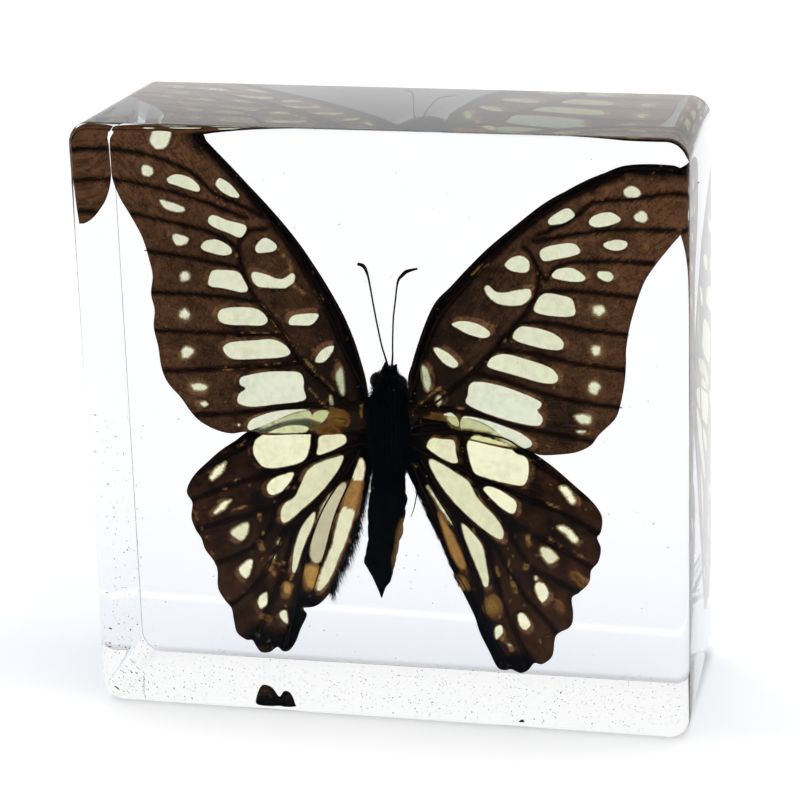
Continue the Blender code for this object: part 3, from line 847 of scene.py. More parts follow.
left_hindwing = wing_sheet(
    "left_hindwing",
    outline=[(-8, 35.5), (-10.5, 35.6), (-13.2, 35.2), (-15, 34.7), (-17, 33.75), (-19, 32.8),
        (-21, 31.9), (-22.4, 30.8), (-24.4, 29.4), (-26.4, 27.6), (-28, 26), (-29, 24.4), (-29.2, 23.3),
        (-28.6, 22.2), (-28.6, 21.5), (-28.8, 20), (-28.3, 18.4), (-27.6, 17.2), (-27.2, 15.8),
        (-26.1, 14.2), (-25.7, 12.9), (-25.75, 10.6), (-24.9, 8.9), (-24.1, 7.9), (-23.85, 6.2),
        (-23.5, 4.5), (-22.3, 3.6), (-21.5, 3.6), (-21.1, 2.9), (-20.4, 2), (-19.2, 2.1), (-18.2, 2.85),
        (-17.5, 2.3), (-16.6, 2.5), (-15.7, 3.8), (-15, 5.6), (-14.1, 7.6), (-14.7, 8.4), (-13.2, 8.7),
        (-12, 9.5), (-10.7, 11.2), (-9.8, 13.6), (-8.6, 16.2), (-7.4, 18.6), (-6.7, 21.2), (-6.1, 24),
        (-5.4, 26.8), (-4.8, 28.6), (-4.4, 31), (-5.2, 34)],
    panes=[
        (PEARL, 0.14, [(-20.2, 30), (-20, 28.6), (-18.8, 27.3), (-16.4, 27.5), (-13.8, 28.4),
            (-13, 29.8), (-12.65, 31.6), (-12.8, 32.8), (-14, 33.2), (-16, 32.95), (-18, 32.1),
            (-19.6, 31.2)]),
        (BUTTER, 0.14, [(-11.5, 31.8), (-10, 32.15), (-8.4, 32.2), (-8.1, 31.2), (-9.6, 30.2),
            (-11.8, 29.35), (-11.75, 30.6)]),
        (CREAM, 0.14, [(-9.4, 29.2), (-8.5, 29.4), (-9.2, 27.6), (-11.4, 24.6), (-14, 22.05),
            (-16.4, 20), (-17.05, 20.6), (-16.6, 22.4), (-15, 23.7), (-13.5, 26.8), (-12, 28.2)]),
        (PEARL, 0.16, [(-18.65, 24.9), (-17.4, 26.1), (-15.1, 26.85), (-15.7, 25.4), (-17, 24),
            (-18.3, 23.7)]),
        (CREAM, 0.14, [(-12.45, 21.65), (-12.8, 20), (-14.1, 17), (-15, 14.4), (-15.5, 13.15),
            (-15.85, 13.7), (-15.4, 16.6), (-14.4, 19.4), (-13.2, 21.1)]),
        (paint(226, 190, 110, 0.3), 0.25, [(-8.6, 25.9), (-8.3, 25), (-9.4, 22.6), (-10.6, 19),
            (-11.8, 15.3), (-12.9, 14.8), (-13.4, 16.4), (-12.5, 19.8), (-11.6, 22.5), (-10.1, 24.6)]),
        (BUTTER, 0.25, [(-6.3, 29.2), (-5.8, 28.4), (-6.1, 26.3), (-7, 25.8), (-7.5, 26.6),
            (-6.8, 28.4)]),
        (TAN, 0.5, [(-6.2, 26.4), (-6.5, 24.4), (-7.3, 21.8), (-8.3, 21.6), (-8.9, 22.8), (-8.1, 25.2),
            (-7.3, 26.6)]),
        (paint(255, 236, 90, 0.12), 0.25, [(-7.3, 22), (-8.4, 18.4), (-9.4, 16), (-10.8, 12.8),
            (-12, 11.1), (-12.7, 11.3), (-11.8, 14.2), (-10.4, 17.6), (-9.6, 20.8), (-8.8, 22.6),
            (-8, 22.6)]),
        (PEARL, 0.42, [(-26, 25.9), (-25, 27.2), (-23.8, 27.8), (-24.4, 26.4), (-25.8, 25.2)]),
        (PEARL, 0.42, [(-25.8, 21), (-24.6, 22.3), (-23.4, 22.7), (-24.4, 21.4), (-25.5, 20.7)]),
        (CREAM, 0.35, [(-23.7, 18.3), (-22.4, 19.4), (-21.3, 19.7), (-21.5, 18.2), (-22.5, 17.2)]),
        (PEARL, 0.3, [(-22.9, 13.3), (-21.8, 14.5), (-21, 14.6), (-21.4, 12.8), (-22.1, 12.05)]),
        (PEARL, 0.25, [(-20.6, 8.8), (-20.2, 9.8), (-19.3, 10.3), (-19.3, 8.8), (-20.2, 8)]),
        (PEARL, 0.25, [(-17.8, 7.6), (-16.8, 8), (-16.7, 6.2), (-17.4, 6.6)]),
        (paint(236, 170, 110, 0.8), HAZY, [(-20, 7.2), (-19.1, 6.9), (-19.1, 6.5), (-20, 6.8)]),
        (GOLD, 0.4, [(-17, 11.8), (-16.1, 11.6), (-16.2, 10.3), (-17, 10.4)]),
        (GOLD, 0.5, [(-14.2, 14), (-12.6, 14.4), (-12.1, 12.6), (-12.8, 11.2), (-14, 11.6)]),
        (CREAM, 0.4, [(-17.5, 17.6), (-17.2, 17.5), (-17.3, 16.9), (-17.6, 17)]),
        (CREAM, 0.4, [(-18.2, 15.6), (-17.9, 15.5), (-18, 14.9), (-18.3, 15)]),
        (VEIL, 0.4, [(-8, 35.5), (-13.2, 35.2), (-16, 34.3), (-19, 32.9), (-18.6, 32.5), (-15.5, 33.7),
            (-12.8, 34), (-10.5, 33.4), (-8.5, 33.5)])],
    ribs=left_hindwing_ribs, depth_at=left_hindwing_depth, root=(-5.0, 30.0),
    costa=[
        [(-8, 35.5), (-14, 35), (-19, 32.8), (-22.4, 30.8)],
        [(-13.8, 9.2), (-14.9, 7), (-16, 4.4), (-18.6, 3.6), (-21, 4.4)],
        [(-5.2, 33), (-5.0, 29.6), (-5.6, 26.4)]],
    scrape_and_highlight_lines=[
        (0.12, [(-22.3, 29.9), (-22.1, 29.8)]), (0.14, [(-16.1, 24.6), (-15, 24.9)]),
        (0.08, [(-15.7, 25.4), (-14.7, 26.7)]), (0.14, [(-22.9, 25.2), (-22.4, 25.6)]),
        (0.12, [(-23.4, 21.2), (-21.5, 22)]), (0.12, [(-28.2, 20.2), (-28.1, 19.9)]),
        (0.1, [(-27.5, 18.9), (-27.4, 18.6)]), (0.14, [(-27, 17.5), (-26.4, 17.4)]),
        (0.22, [(-19.8, 20.9), (-19.7, 20.3)]), (0.3, [(-20, 17.1), (-19.6, 16.3)]),
        (0.12, [(-19.5, 18.5), (-19.3, 18.2)]), (0.14, [(-17.4, 17.8), (-17.5, 17)]),
        (0.12, [(-17.9, 15.6), (-18.3, 14.5)]), (0.34, [(-18.7, 13.9), (-18.3, 13.1)]),
        (0.3, [(-17.1, 11.1), (-16.5, 10.9), (-16, 11.4)]), (0.1, [(-15.8, 13), (-16, 12.3)]),
        (0.16, [(-20.2, 7), (-19.4, 6.8), (-19, 6.5)]), (0.1, [(-20.9, 4.4), (-20.7, 4.2)]),
        (0.12, [(-14.6, 8.5), (-14.1, 8.5)]), (0.1, [(-9.8, 28.4), (-11.9, 25.7)]),
        (0.1, [(-26.4, 15.4), (-26, 15)]), (0.1, [(-25.2, 22.4), (-24.2, 22.9)])])
# The far brown is lightened in part by painted glow, light through the thinner wing.
hindwing_skin = scaled_membrane("hindwing_scales", near=paint(38, 29, 24),
                                far=paint(132, 86, 56), lead=paint(3, 4, 10),
                                dark=paint(5, 4, 6), tinge=(0.98, 0.972, 0.82, 1.0))
left_hindwing.data.materials.append(hindwing_skin)
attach(left_hindwing, "root")

right_hindwing_ribs = [
    ((0.4, 0.2), [(0.4, 33.6), (2.2, 34.2), (4.2, 34.3)]),
    ((VEIN, VEIN_TIP), [(0.2, 32.6), (3, 33), (7, 33.3), (12.4, 32.6), (15.4, 30.2), (19.4, 27.4),
        (22.2, 25.4)]),
    ((VEIN, VEIN_TIP), [(0, 31.4), (2, 30.2), (6.4, 28.4), (9.4, 26.8), (14.2, 25.2), (18.8, 23.4),
        (23.9, 20.6)]),
    ((0.3, VEIN_TIP), [(6.5, 32.6), (6.6, 30.6), (7.1, 28.4)]),
    ((0.28, VEIN_TIP), [(8.7, 26.4), (10.6, 23.2), (13.8, 21), (18, 18.9), (22.8, 16.2)]),
    ((0.28, VEIN_TIP), [(9.3, 25), (11.7, 22.4), (12.7, 19.6), (15.5, 15.6), (17.6, 14.6), (21.2, 12.6)]),
    ((0.28, VEIN_TIP), [(7.6, 21.3), (10.4, 18.9), (11.7, 16.4), (14, 12.2), (16.4, 9.4), (18.4, 7)]),
    ((0.28, VEIN_TIP), [(1.4, 29.4), (4.6, 24.2), (7.2, 21.6), (9.2, 19.2), (10.2, 16.4), (11.3, 11.4),
        (13.4, 6), (15, 2.6)]),
    ((0.3, VEIN_TIP), [(0.9, 29), (3.2, 24.8), (5.6, 20.6), (7.4, 15.8), (8.8, 11.4), (9.9, 6.4), (12, 2)]),
    ((0.3, VEIN_TIP), [(0.4, 28.6), (1.4, 25.8), (3.1, 21.8), (4.5, 17.6), (5.2, 15.4), (6.8, 12.2),
        (8, 8.8)])]
right_hindwing = wing_sheet(
    "right_hindwing",
    outline=[(3, 35.6), (5, 35.3), (8, 35.05), (10, 34.35), (12, 32.9), (14.6, 31.5), (16.2, 30.7),
        (18.4, 29.1), (20.8, 27), (23, 25), (24.2, 23.1), (24.1, 21.1), (23.6, 20.2), (24.05, 18.8),
        (23.7, 17), (22.8, 15.8), (22.5, 14.1), (21.2, 12.7), (20.3, 11.9), (20.45, 9.8), (20.1, 8.1),
        (18.6, 7.1), (18.05, 6.2), (17.7, 3.9), (16.4, 2.7), (15.4, 2.8), (14.6, 1.8), (13.6, 1.3),
        (12.4, 1.75), (11.6, 1.55), (10.6, 1.9), (9.6, 4), (8.4, 6.6), (7.8, 8.7), (6.4, 11.8),
        (5.2, 14.6), (4.4, 16.6), (3.2, 19.8), (2, 22.4), (0.8, 25.2), (-0.2, 27.2), (-0.6, 29.5),
        (-0.2, 31.4), (1, 34.5)],
    panes=[
        (PEARL, 0.14, [(7.35, 31.7), (7.6, 29.8), (8.2, 28), (9.6, 27.4), (12.8, 26.7), (14.5, 26.7),
            (15.1, 28.6), (14.8, 30.3), (13.4, 30.9), (12.4, 31.9), (10, 32.7), (8.2, 32.85)]),
        (BUTTER, 0.14, [(2.2, 31.3), (3, 32.3), (5.6, 32.2), (5.9, 30.6), (6.1, 29.2), (4.6, 29.4),
            (2.6, 30.7)]),
        (CREAM, 0.14, [(2.5, 29.5), (4, 29), (5.8, 27.9), (7.4, 26.8), (8.6, 24.6), (10.8, 22.2),
            (11.75, 20.4), (11.4, 19.25), (9.6, 20.2), (6.8, 22.6), (4.4, 25.3), (2.8, 28)]),
        (PEARL, 0.14, [(9.3, 26.1), (10.6, 26.2), (12.8, 25), (13.5, 24), (13, 22.8), (11.4, 23.6),
            (9.6, 25.4)]),
        (CREAM, 0.14, [(6.4, 21.2), (8.2, 19.5), (9.1, 18), (9.5, 15.6), (9.75, 13.4), (9.2, 12.7),
            (8.4, 14.8), (7.1, 18.2)]),
        (TAN, 0.3, [(3.4, 22.6), (4.8, 20.4), (6, 18), (6.8, 15.6), (6.4, 14.9), (5.3, 16.2),
            (4.2, 19.4)]),
        (CREAM, 0.3, [(2.1, 26), (3.1, 24.9), (5.2, 21.4), (4.9, 21.2), (2.6, 24.8)]),
        (TAN, FADED, [(5.6, 14), (6.6, 13.6), (7, 12.4), (6.1, 12.6)]),
        (OLIVE, FADED, [(9.3, 10.8), (10, 11.4), (10.9, 10.8), (10.9, 9.5), (10.1, 9), (9.3, 9.6)]),
        (PEARL, 0.42, [(18.9, 26.7), (19.9, 26.7), (21, 25), (20.5, 24.5), (19.4, 25.7)]),
        (PEARL, 0.42, [(18.5, 21.3), (19.6, 21.6), (21.2, 20), (20.7, 19.3), (19.4, 20.5)]),
        (CREAM, 0.4, [(16.3, 18.4), (17.4, 18.5), (18.7, 17.3), (17.7, 16.4), (16.9, 16.8)]),
        (PEARL, 0.3, [(15.8, 13.7), (16.8, 13.7), (17.4, 12.3), (16.5, 11.1), (15.7, 12.6)]),
        (CREAM, 0.3, [(15.6, 14.7), (16, 14.5), (15.9, 14), (15.6, 14.1)]),
        (DULL, HAZY, [(18.6, 11.2), (19.3, 10.6), (19.2, 10.3), (18.6, 10.8)]),
        (PEARL, 0.25, [(13.4, 9.3), (14.2, 9.45), (15, 8), (14.3, 7.2), (13.5, 7.9)]),
        (PEARL, 0.25, [(10.5, 7.4), (11.2, 7.7), (11.4, 6.7), (10.6, 5.7), (10.3, 6.4)]),
        (CREAM, 0.3, [(12, 5.3), (12.6, 5), (12.2, 4.7)]),
        (paint(186, 160, 134), HAZY, [(20.4, 15.6), (21.6, 14.4), (21.7, 13.7), (20.5, 14.8)]),
        (VEIL, 0.4, [(5, 35.5), (8, 35.1), (11, 33.8), (14, 31.8), (12.6, 31.9), (10.4, 33.2), (8, 33.6),
            (5.5, 33.9)])],
    ribs=right_hindwing_ribs, depth_at=right_hindwing_depth, root=(0.0, 30.0),
    costa=[
        [(3, 35.6), (8, 35.05), (12, 32.9), (16.2, 30.7)],
        [(6.3, 12.8), (7.6, 9.8), (8.8, 7.4), (9.8, 4.6), (11, 2.4), (14, 2.6)],
        [(-0.4, 33), (-0.2, 29.6), (0.4, 26.4)]],
    scrape_and_highlight_lines=[
        (0.22, [(14.7, 20.1), (15, 18.8)]), (0.3, [(14.7, 16.4), (14.5, 15.7)]),
        (0.32, [(12.8, 13.4), (13.2, 12.5)]),
        (0.3, [(9.4, 11.1), (10.2, 11.5), (10.8, 10.9), (11.1, 10.1)]),
        (0.22, [(9.4, 10), (10.2, 9.3), (10.9, 8.8)]), (0.14, [(10.5, 16.1), (11, 14.5)]),
        (0.09, [(12.4, 16.5), (12.6, 14.1)]), (0.26, [(11.1, 6), (12.1, 5.3), (12.5, 4.5)]),
        (0.3, [(20.3, 15.6), (21.3, 14.9), (22.5, 14.1)]), (0.16, [(20.5, 14.6), (21.8, 13.5)]),
        (0.12, [(17.3, 24.6), (18.8, 23.9)]), (0.12, [(17.5, 19.8), (19, 18.8)]),
        (0.1, [(20.6, 18.3), (22.3, 17.1)]), (0.12, [(18.7, 11.2), (19.2, 10.4)])])
right_hindwing.data.materials.append(hindwing_skin)
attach(right_hindwing, "root")


# Hindwing veins: the same hollow ribs. They run out to the teeth of the outer edge.
left_hindwing_veins = tubes("left_hindwing_veins", left_hindwing_ribs, left_hindwing_depth)
right_hindwing_veins = tubes("right_hindwing_veins", right_hindwing_ribs, right_hindwing_depth)
for veins in (left_hindwing_veins, right_hindwing_veins):
    veins.data.materials.append(vein_material)
    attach(veins, "root")


# The body: a hard black shell in three parts, shrunk a little as it dried. The abdomen is ringed
# and turns golden along its right flank, and the thorax carries the wings and a coat of hair.
BODY_DEPTH = 18.2
BODY_SIDES = 32


def ringed(name, rings):
    """A closed round shell: a disc, drawn out ring by ring and widened to each ring's size. A ring
    is its middle across, its height, its middle in depth, and its half width and half depth."""
    across, height, deep, half_wide, half_deep = rings[0]
    bpy.ops.mesh.primitive_circle_add(vertices=BODY_SIDES, radius=1.0, fill_type="NGON")
    piece = bpy.context.object
    piece.name = name
    bpy.ops.object.mode_set(mode="EDIT")
    bpy.ops.mesh.select_all(action="SELECT")
    bpy.ops.transform.resize(value=(half_wide, half_deep, 1.0))
    bpy.ops.transform.translate(value=(across, deep, height))
    for last, ring in zip(rings, rings[1:]):
        step = (ring[0] - last[0], ring[2] - last[2], ring[1] - last[1])
        bpy.ops.mesh.extrude_region_move(TRANSFORM_OT_translate={"value": step})
        bpy.ops.transform.resize(value=(ring[3] / last[3], ring[4] / last[4], 1.0))
    bpy.ops.object.mode_set(mode="OBJECT")
    return piece


def set_in_block(piece):
    """Carries a piece that was modelled in drawn millimetres into the block."""
    shape = places_of(piece)
    place_all(piece, brought_forward(shape[:, [0, 2]], shape[:, 1]))
    mend_normals(piece)
    bpy.ops.object.shade_smooth()
    return piece


def outline_rings(heights, left, right, grooves, groove_depth, flatness, deep):
    """Rings that follow a left and a right edge, each a list of (height, across)."""
    left, right = (np.array(sorted(side)) for side in (left, right))
    rings = []
    for height in heights:
        west = np.interp(height, left[:, 0], left[:, 1])
        east = np.interp(height, right[:, 0], right[:, 1])
        pinch = sum(math.exp(-((height - groove) / 0.22) ** 2) for groove in grooves)
        half = (east - west) / 2 * (1 - groove_depth * pinch)
        rings.append(((east + west) / 2, height, deep, half, half * flatness))
    return rings


abdomen = ringed("abdomen", outline_rings(
    np.linspace(29, 10.45, 84),
    left=[(29, -4.7), (26.8, -5.0), (25.2, -5.2), (24, -5.4), (22.4, -5.65), (21, -5.7),
          (18.2, -5.75), (17, -6), (15.9, -6.28), (15.2, -6.4), (14.4, -6), (13.4, -5.4),
          (12.2, -4.9), (11.2, -4.5), (10.45, -4.25)],
    right=[(29, -0.4), (26, -0.65), (25, -0.6), (24, -0.4), (23.2, -0.65), (22, -0.75), (21, -1),
           (19.4, -1.15), (18.2, -1.65), (16.8, -1.9), (15.6, -2.2), (14, -2.6), (12.7, -3),
           (12, -3.6), (11.2, -3.9), (10.45, -4.15)],
    grooves=[27, 24.9, 22.8, 20.6, 18.4, 16.3, 14.4], groove_depth=0.045, flatness=0.86,
    deep=BODY_DEPTH))
shape = places_of(abdomen)
flank = (shape[:, 0] - np.interp(shape[:, 2], [10, 15, 21, 29], [-4.2, -4.3, -3.3, -2.6])) / 2.0
keep(abdomen, "flank", flank * np.clip((23.5 - shape[:, 2]) / 3, 0, 1))
set_in_block(abdomen)

thorax = ringed("thorax", outline_rings(
    np.linspace(27.6, 40.3, 44),
    left=[(27.6, -4.6), (29, -5.0), (31, -5.3), (34, -5.4), (36.5, -5.2), (38.2, -4.5),
          (39.4, -3.8), (40.3, -3.2)],
    right=[(27.6, -0.5), (29, -0.1), (31, 0.2), (34, 0.35), (36.5, 0.3), (38.2, 0.2),
           (39.4, -0.3), (40.3, -1.4)],
    grooves=[30.6, 37.9], groove_depth=0.06, flatness=1.05, deep=BODY_DEPTH + 0.2))
keep(thorax, "flank", np.zeros(len(thorax.data.vertices)))
set_in_block(thorax)

head = ringed("head", outline_rings(
    np.linspace(38.2, 41.5, 22),
    left=[(38.2, -3.4), (38.8, -3.7), (39.6, -3.8), (40.6, -3.45), (41.1, -3.05), (41.5, -2.5)],
    right=[(38.2, -1.0), (38.8, -0.7), (39.6, -0.75), (40.6, -1.2), (41.1, -1.4), (41.5, -1.8)],
    grooves=[], groove_depth=0, flatness=0.95, deep=BODY_DEPTH + 2.3))
keep(head, "flank", np.zeros(len(head.data.vertices)))
set_in_block(head)

shell_material, shell, shell_shader = surface("body_shell")
shell_place = shell.node("ShaderNodeTexCoord", {}, {}, "Object")
shell_grain = shell.node("ShaderNodeTexNoise", {}, {"Vector": shell_place, "Scale": 2600.0,
                                                    "Detail": 5.0})
shell_patch = shell.node("ShaderNodeTexNoise", {}, {"Vector": shell_place, "Scale": 500.0})
shell_side = shell.node("ShaderNodeAttribute", {"attribute_name": "flank"}, {}, "Fac")
shell_black = shell.blend(shell_grain, paint(0, 0, 2), paint(3, 4, 8))
shell_gold = shell.blend(shell_grain, paint(120, 78, 36), paint(196, 150, 92))
shell_edge = ((shell_side + (shell_patch - 0.5) * 0.5 - 0.68) * 4.0).clamped()
shell.feed(shell_shader.inputs["Base Color"], shell.blend(shell_edge, shell_black, shell_gold))
shell.feed(shell_shader.inputs["Roughness"], 0.5 + shell_grain * 0.3)
shell.feed(shell_shader.inputs["Normal"],
           shell.node("ShaderNodeBump", {}, {"Height": shell_grain + shell_patch, "Strength": 0.6,
                                             "Distance": 0.08 * MM}))
shell_shader.inputs["Specular IOR Level"].default_value = SEALED_GLOSS
for part in (abdomen, thorax, head):
    part.data.materials.append(shell_material)
    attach(part, "root")


# The compound eyes: domes of fine facets. The rim is painted brown by its angle to the camera, a
# painted glow that stands in for light coming through.
EYE_RADIUS = 1.18
eye_material, eye_look, eye_shader = surface("faceted_eye")
eye_place = eye_look.node("ShaderNodeTexCoord", {}, {}, "Object")
eye_cells = eye_look.node("ShaderNodeTexVoronoi", {}, {"Vector": eye_place, "Scale": 11000.0})
# Painted glow at the rim, by the angle to the camera.
eye_rim_painted_glow = eye_look.node("ShaderNodeLayerWeight", {}, {"Blend": 0.35}, "Facing")
eye_look.feed(eye_shader.inputs["Base Color"],
              eye_look.blend(eye_rim_painted_glow ** 2.0, paint(12, 10, 14), paint(124, 86, 58)))
eye_look.feed(eye_shader.inputs["Normal"],
              eye_look.node("ShaderNodeBump", {}, {"Height": eye_cells, "Strength": 0.5,
                                                   "Distance": 0.03 * MM}))
eye_shader.inputs["Roughness"].default_value = 0.3
eye_shader.inputs["Specular IOR Level"].default_value = 0.1
for name, across, height, deep in (("left_eye", -3.72, 39.45, BODY_DEPTH + 2.2),
                                   ("right_eye", -1.05, 39.2, BODY_DEPTH + 2.4)):
    bpy.ops.mesh.primitive_uv_sphere_add(segments=32, ring_count=20, radius=EYE_RADIUS)
    eye = bpy.context.object
    eye.name = name
    place_all(eye, places_of(eye) * (0.92, 1.1, 1.04) + (across, deep, height))
    set_in_block(eye)
    eye.data.materials.append(eye_material)
    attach(eye, "root")


# Antennae, feelers, tongue and legs: jointed rods. The antennae end in curved clubs. The legs are
# folded against the underside, where only the tip of one shows past the abdomen.
antennae = tubes(
    "antennae",
    [((0.34, 0.24, 0.22, 0.22, 0.22, 0.22, 0.22, 0.26, 0.38, 0.5, 0.4),
      [(-2.3, 40.9, 19.9), (-2.7, 42.5, 19.5), (-3.1, 44, 19.0), (-3.4, 45.6, 18.5),
       (-3.7, 47.4, 17.9), (-4, 49.4, 17.3), (-4.25, 51.2, 16.8), (-4.5, 52.8, 16.4),
       (-4.75, 53.7, 16.1), (-5.1, 54.3, 16.0), (-5.8, 54.55, 15.8)]),
     ((0.34, 0.24, 0.22, 0.22, 0.22, 0.22, 0.24, 0.32, 0.44, 0.46, 0.24),
      [(-2.0, 40.9, 19.9), (-1.8, 42.6, 19.6), (-1.75, 44, 19.3), (-1.65, 46, 19.0),
       (-1.5, 48, 18.6), (-1.2, 50, 18.2), (-0.95, 51.8, 17.8), (-0.7, 52.7, 17.5),
       (-0.2, 53.3, 17.3), (0.4, 53.8, 17.2), (1.7, 54.2, 17.1)])])
legs = tubes(
    "folded_legs",
    [((0.5, 0.6, 0.42, 0.34, 0.26, 0.2),
      [(-3.6, 37.6, 19.6), (-4.4, 35.4, 20.6), (-3.4, 37.8, 21.2), (-2.9, 36.2, 20.9),
       (-3.2, 33.6, 20.8), (-3.0, 31.8, 20.6)]),
     ((0.5, 0.6, 0.42, 0.34, 0.26, 0.2),
      [(-1.6, 37.6, 19.6), (-0.8, 35.4, 20.6), (-1.8, 37.8, 21.3), (-2.2, 36.0, 21.2),
       (-2.0, 33.2, 20.9), (-2.3, 31.2, 20.6)]),
     ((0.5, 0.6, 0.44, 0.34, 0.26, 0.2),
      [(-3.8, 34.8, 19.9), (-4.8, 32.0, 20.9), (-3.8, 34.6, 21.4), (-3.6, 31.6, 21.1),
       (-3.8, 28.6, 20.6), (-3.9, 26.2, 20.3)]),
     ((0.5, 0.6, 0.44, 0.34, 0.26, 0.2),
      [(-1.4, 34.8, 19.9), (-0.4, 32.0, 20.9), (-1.4, 34.6, 21.5), (-1.6, 31.4, 21.3),
       (-1.4, 28.2, 20.7), (-1.7, 25.8, 20.3)]),
     ((0.5, 0.62, 0.44, 0.34, 0.26, 0.2),
      [(-3.6, 31.8, 19.7), (-5.0, 28.8, 20.4), (-4.2, 32.0, 21.0), (-4.6, 28.4, 20.6),
       (-4.5, 25.0, 20.2), (-4.9, 22.6, 19.9)]),
     ((0.5, 0.62, 0.4, 0.3, 0.2, 0.17, 0.15, 0.1),
      [(-1.6, 31.8, 19.7), (-0.2, 29.4, 20.2), (-0.2, 32.0, 20.6), (0.4, 29.0, 20.2),
       (0.75, 26.8, 19.6), (0.75, 24.9, 19.2), (0.35, 22.9, 18.9), (-0.1, 21.6, 18.8)])])
coil_turns = np.linspace(0, 4.4 * math.pi, 44)
tongue = tubes(
    "coiled_tongue",
    [((0.24, 0.2, 0.16),
      [(-2.3 + 0.04 * math.sin(turn), 39.9 + 0.068 * (15 - turn) * math.sin(turn),
        21.8 + 0.068 * (15 - turn) * math.cos(turn)) for turn in coil_turns])])
feelers = tubes(
    "feelers",
    [((0.5, 0.62, 0.5, 0.24),
      [(-2.9, 39.9, 21.2), (-3.0, 40.8, 21.5), (-2.8, 41.5, 21.1), (-2.75, 41.9, 20.7)]),
     ((0.5, 0.62, 0.5, 0.24),
      [(-1.7, 39.9, 21.2), (-1.6, 40.8, 21.5), (-1.5, 41.4, 21.1), (-1.35, 41.7, 20.7)])])
rod_material, rod, rod_shader = surface("jointed_rod")
rod_place = rod.node("ShaderNodeTexCoord", {}, {}, "Object")
rod_rings = rod.node("ShaderNodeTexWave", {"bands_direction": "Z"},
                     {"Vector": rod_place, "Scale": 1300.0, "Distortion": 1.0})
rod.feed(rod_shader.inputs["Base Color"],
         rod.blend(rod_rings, paint(26, 14, 16), paint(74, 44, 38)))
rod.feed(rod_shader.inputs["Roughness"], 0.4 + rod_rings * 0.2)
rod_shader.inputs["Specular IOR Level"].default_value = SEALED_GLOSS
for part in (antennae, legs, tongue, feelers):
    part.data.materials.append(rod_material)
    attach(part, "root")


# Hair: a short dark coat over the thorax and head, and a long fringe that hangs from the inner
# fold of each hindwing. Each hair is a thin three-sided spike with one bend.
chance = np.random.default_rng(7)


def hairs(name, roots, ways, lengths, widths, droop):
    """Spikes at their roots, in metres. Each starts along its way and then bends by the droop."""
    droop = np.array(droop)
    ways = ways / np.linalg.norm(ways, axis=1, keepdims=True)
    side = np.cross(ways, (0.31, 0.87, 0.38))
    side /= np.linalg.norm(side, axis=1, keepdims=True)
    other = np.cross(ways, side)
    corners = []
    for along, wide in ((0.0, 1.0), (0.5, 0.75)):
        middle = roots + ways * (lengths * along)[:, None] + droop * along ** 2
        for turn in (0, 2 * math.pi / 3, 4 * math.pi / 3):
            spread = side * math.cos(turn) + other * math.sin(turn)
            corners.append(middle + spread * (widths * wide / 2)[:, None])
    corners.append(roots + ways * lengths[:, None] + droop)
    points = np.stack(corners, axis=1).reshape(-1, 3)
    faces = []
    for k in range(len(roots)):
        a = 7 * k
        faces.append((a, a + 1, a + 2))
        for i, j in ((0, 1), (1, 2), (2, 0)):
            faces.append((a + i, a + j, a + 3 + j, a + 3 + i))
            faces.append((a + 3 + i, a + 3 + j, a + 6))
    mesh = bpy.data.meshes.new(name)
    mesh.from_pydata(points.tolist(), [], faces)
    coat = bpy.data.objects.new(name, mesh)
    bpy.context.scene.collection.objects.link(coat)
    bpy.ops.object.select_all(action="DESELECT")
    coat.select_set(True)
    mend_normals(coat)
    return coat


def coat_of(name, body, count, shortest, longest, width, lean):
    """Hairs over a shell, standing off it and leaning one way."""
    faces = body.data.polygons
    chosen = chance.choice(len(faces), count)
    roots = np.array([faces[int(k)].center for k in chosen])
    ways = np.array([faces[int(k)].normal for k in chosen])
    roots = roots - ways * 0.05 * MM + chance.normal(0, 0.06 * MM, roots.shape)
    ways = ways + chance.normal(0, 0.35, ways.shape) + lean
    lengths = chance.uniform(shortest, longest, count) * MM
    return hairs(name, roots, ways, lengths, np.full(count, width * MM), (0, 0, -0.1 * MM))


def fringe(name, line, depth_at, count, longest, sweep):
    """Long hairs from a wing's inner fold, swept down and away from the wing."""
    edge = smooth_line(line, closed=False, steps=8)
    spots = edge[chance.choice(len(edge) - 1, count)] + chance.normal(0, 0.12, (count, 2))
    roots = brought_forward(spots, depth_at(spots) + chance.normal(0, 0.12, count))
    ways = np.array((sweep[0], 0.0, sweep[1])) + chance.normal(0, 0.14, (count, 3))
    lengths = chance.uniform(0.3, 1.0, count) ** 1.5 * longest * MM
    return hairs(name, roots, ways, lengths, np.full(count, 0.05 * MM), (0, 0, -0.12 * MM))


thorax_coat = coat_of("thorax_hair", thorax, 5200, 0.35, 1.0, 0.05, (0.0, -0.1, -0.25))
head_coat = coat_of("head_hair", head, 1300, 0.25, 0.6, 0.045, (0.0, -0.1, 0.45))
left_fringe = fringe("left_wing_fringe",
                     [(-4.9, 29.4), (-5.7, 26.2), (-6.4, 23), (-7.3, 19.2), (-8.6, 16.2),
                      (-9.9, 13.4), (-11, 10.9)],
                     left_hindwing_depth, 1500, 2.4, (0.16, -1.0))
right_fringe = fringe("right_wing_fringe",
                      [(-0.3, 29), (0.6, 25.8), (2.2, 22), (3.4, 19.4), (4.8, 15.8), (6, 12.6)],
                      right_hindwing_depth, 900, 1.3, (0.45, -1.0))
hair_material, hair, hair_shader = surface("fine_hair")
hair_place = hair.node("ShaderNodeTexCoord", {}, {}, "Object")
hair_tone = hair.node("ShaderNodeTexNoise", {}, {"Vector": hair_place, "Scale": 1400.0})
hair.feed(hair_shader.inputs["Base Color"],
          hair.blend((hair_tone * 1.8 - 0.5).clamped(), paint(1, 2, 5), paint(30, 24, 22)))
hair_shader.inputs["Roughness"].default_value = 0.55
hair_shader.inputs["Specular IOR Level"].default_value = SEALED_GLOSS
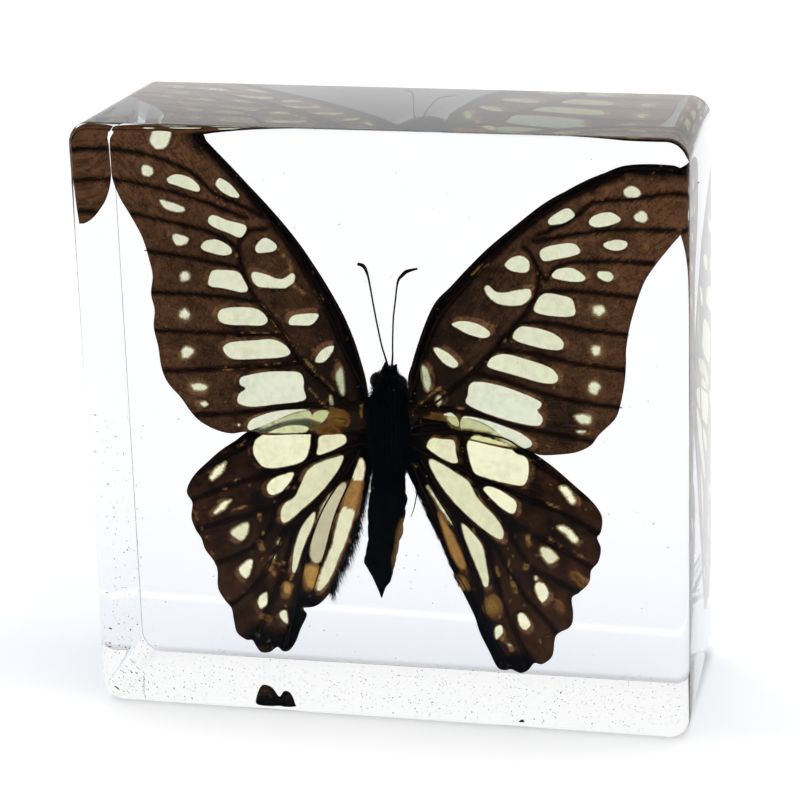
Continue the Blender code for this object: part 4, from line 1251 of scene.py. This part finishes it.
for part in (thorax_coat, head_coat, left_fringe, right_fringe):
    part.data.materials.append(hair_material)
    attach(part, "root")


# Dust: brown specks that settled in the mould before it was filled. Most lie near the bottom and
# the left wall, and a few float in the clear part.
def specks(name, places, sizes):
    """Small uneven grains, one at each place in the block, given in mm."""
    bpy.ops.mesh.primitive_ico_sphere_add(subdivisions=1, radius=0.5)
    grain = bpy.context.object
    shape = places_of(grain)
    sides = [tuple(face.vertices) for face in grain.data.polygons]
    bpy.data.objects.remove(grain)
    count = len(places)
    stretch = chance.uniform(0.5, 1.2, (count, 1, 3))
    rough = chance.uniform(0.7, 1.2, (count, len(shape), 1))
    spots = shape[None] * stretch * rough * sizes[:, None, None] + places[:, None, :]
    spots = spots.reshape(-1, 3)
    faces = [tuple(v + len(shape) * k for v in side) for k in range(count) for side in sides]
    mesh = bpy.data.meshes.new(name)
    mesh.from_pydata(in_block(spots[:, 0], spots[:, 1], spots[:, 2]).tolist(), [], faces)
    dust = bpy.data.objects.new(name, mesh)
    bpy.context.scene.collection.objects.link(dust)
    bpy.ops.object.select_all(action="DESELECT")
    dust.select_set(True)
    mend_normals(dust)
    return dust


def scattered(count, low, high, crowding=(1.0, 1.0, 1.0)):
    """Random places in a box, crowded towards its low side where the power is over one."""
    part = chance.uniform(0, 1, (count, 3)) ** np.array(crowding)
    return np.array(low) + part * (np.array(high) - np.array(low))


floor_dust = specks("floor_dust",
                    scattered(1500, (-35.5, 0.8, 1.15), (35.5, 23.5, 2.6), (1.0, 1.0, 2.4)),
                    chance.uniform(0.3, 1.0, 1500) ** 3 * 0.13 + 0.028)
wall_dust = specks("wall_dust",
                   scattered(320, (-35.9, 0.8, 2.0), (-34.6, 23.5, 36.0), (1.0, 1.0, 1.8)),
                   chance.uniform(0.3, 1.0, 320) ** 3 * 0.2 + 0.03)
loose_dust = specks("loose_dust",
                    scattered(520, (-35.0, 1.0, 2.0), (35.0, 24.0, 72.0), (1.0, 1.0, 2.0)),
                    chance.uniform(0.3, 1.0, 520) ** 4 * 0.2 + 0.025)
dust_material, dust, dust_shader = surface("brown_dust")
dust_place = dust.node("ShaderNodeTexCoord", {}, {}, "Object")
dust_tone = dust.node("ShaderNodeTexNoise", {}, {"Vector": dust_place, "Scale": 700.0,
                                                 "Detail": 4.0})
dust.feed(dust_shader.inputs["Base Color"],
          dust.blend((dust_tone * 2.2 - 0.6).clamped(), paint(190, 146, 110), paint(245, 230, 210)))
dust_shader.inputs["Roughness"].default_value = 0.8
dust_shader.inputs["Specular IOR Level"].default_value = SEALED_GLOSS
for part in (floor_dust, wall_dust, loose_dust):
    part.data.materials.append(dust_material)
    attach(part, "root")
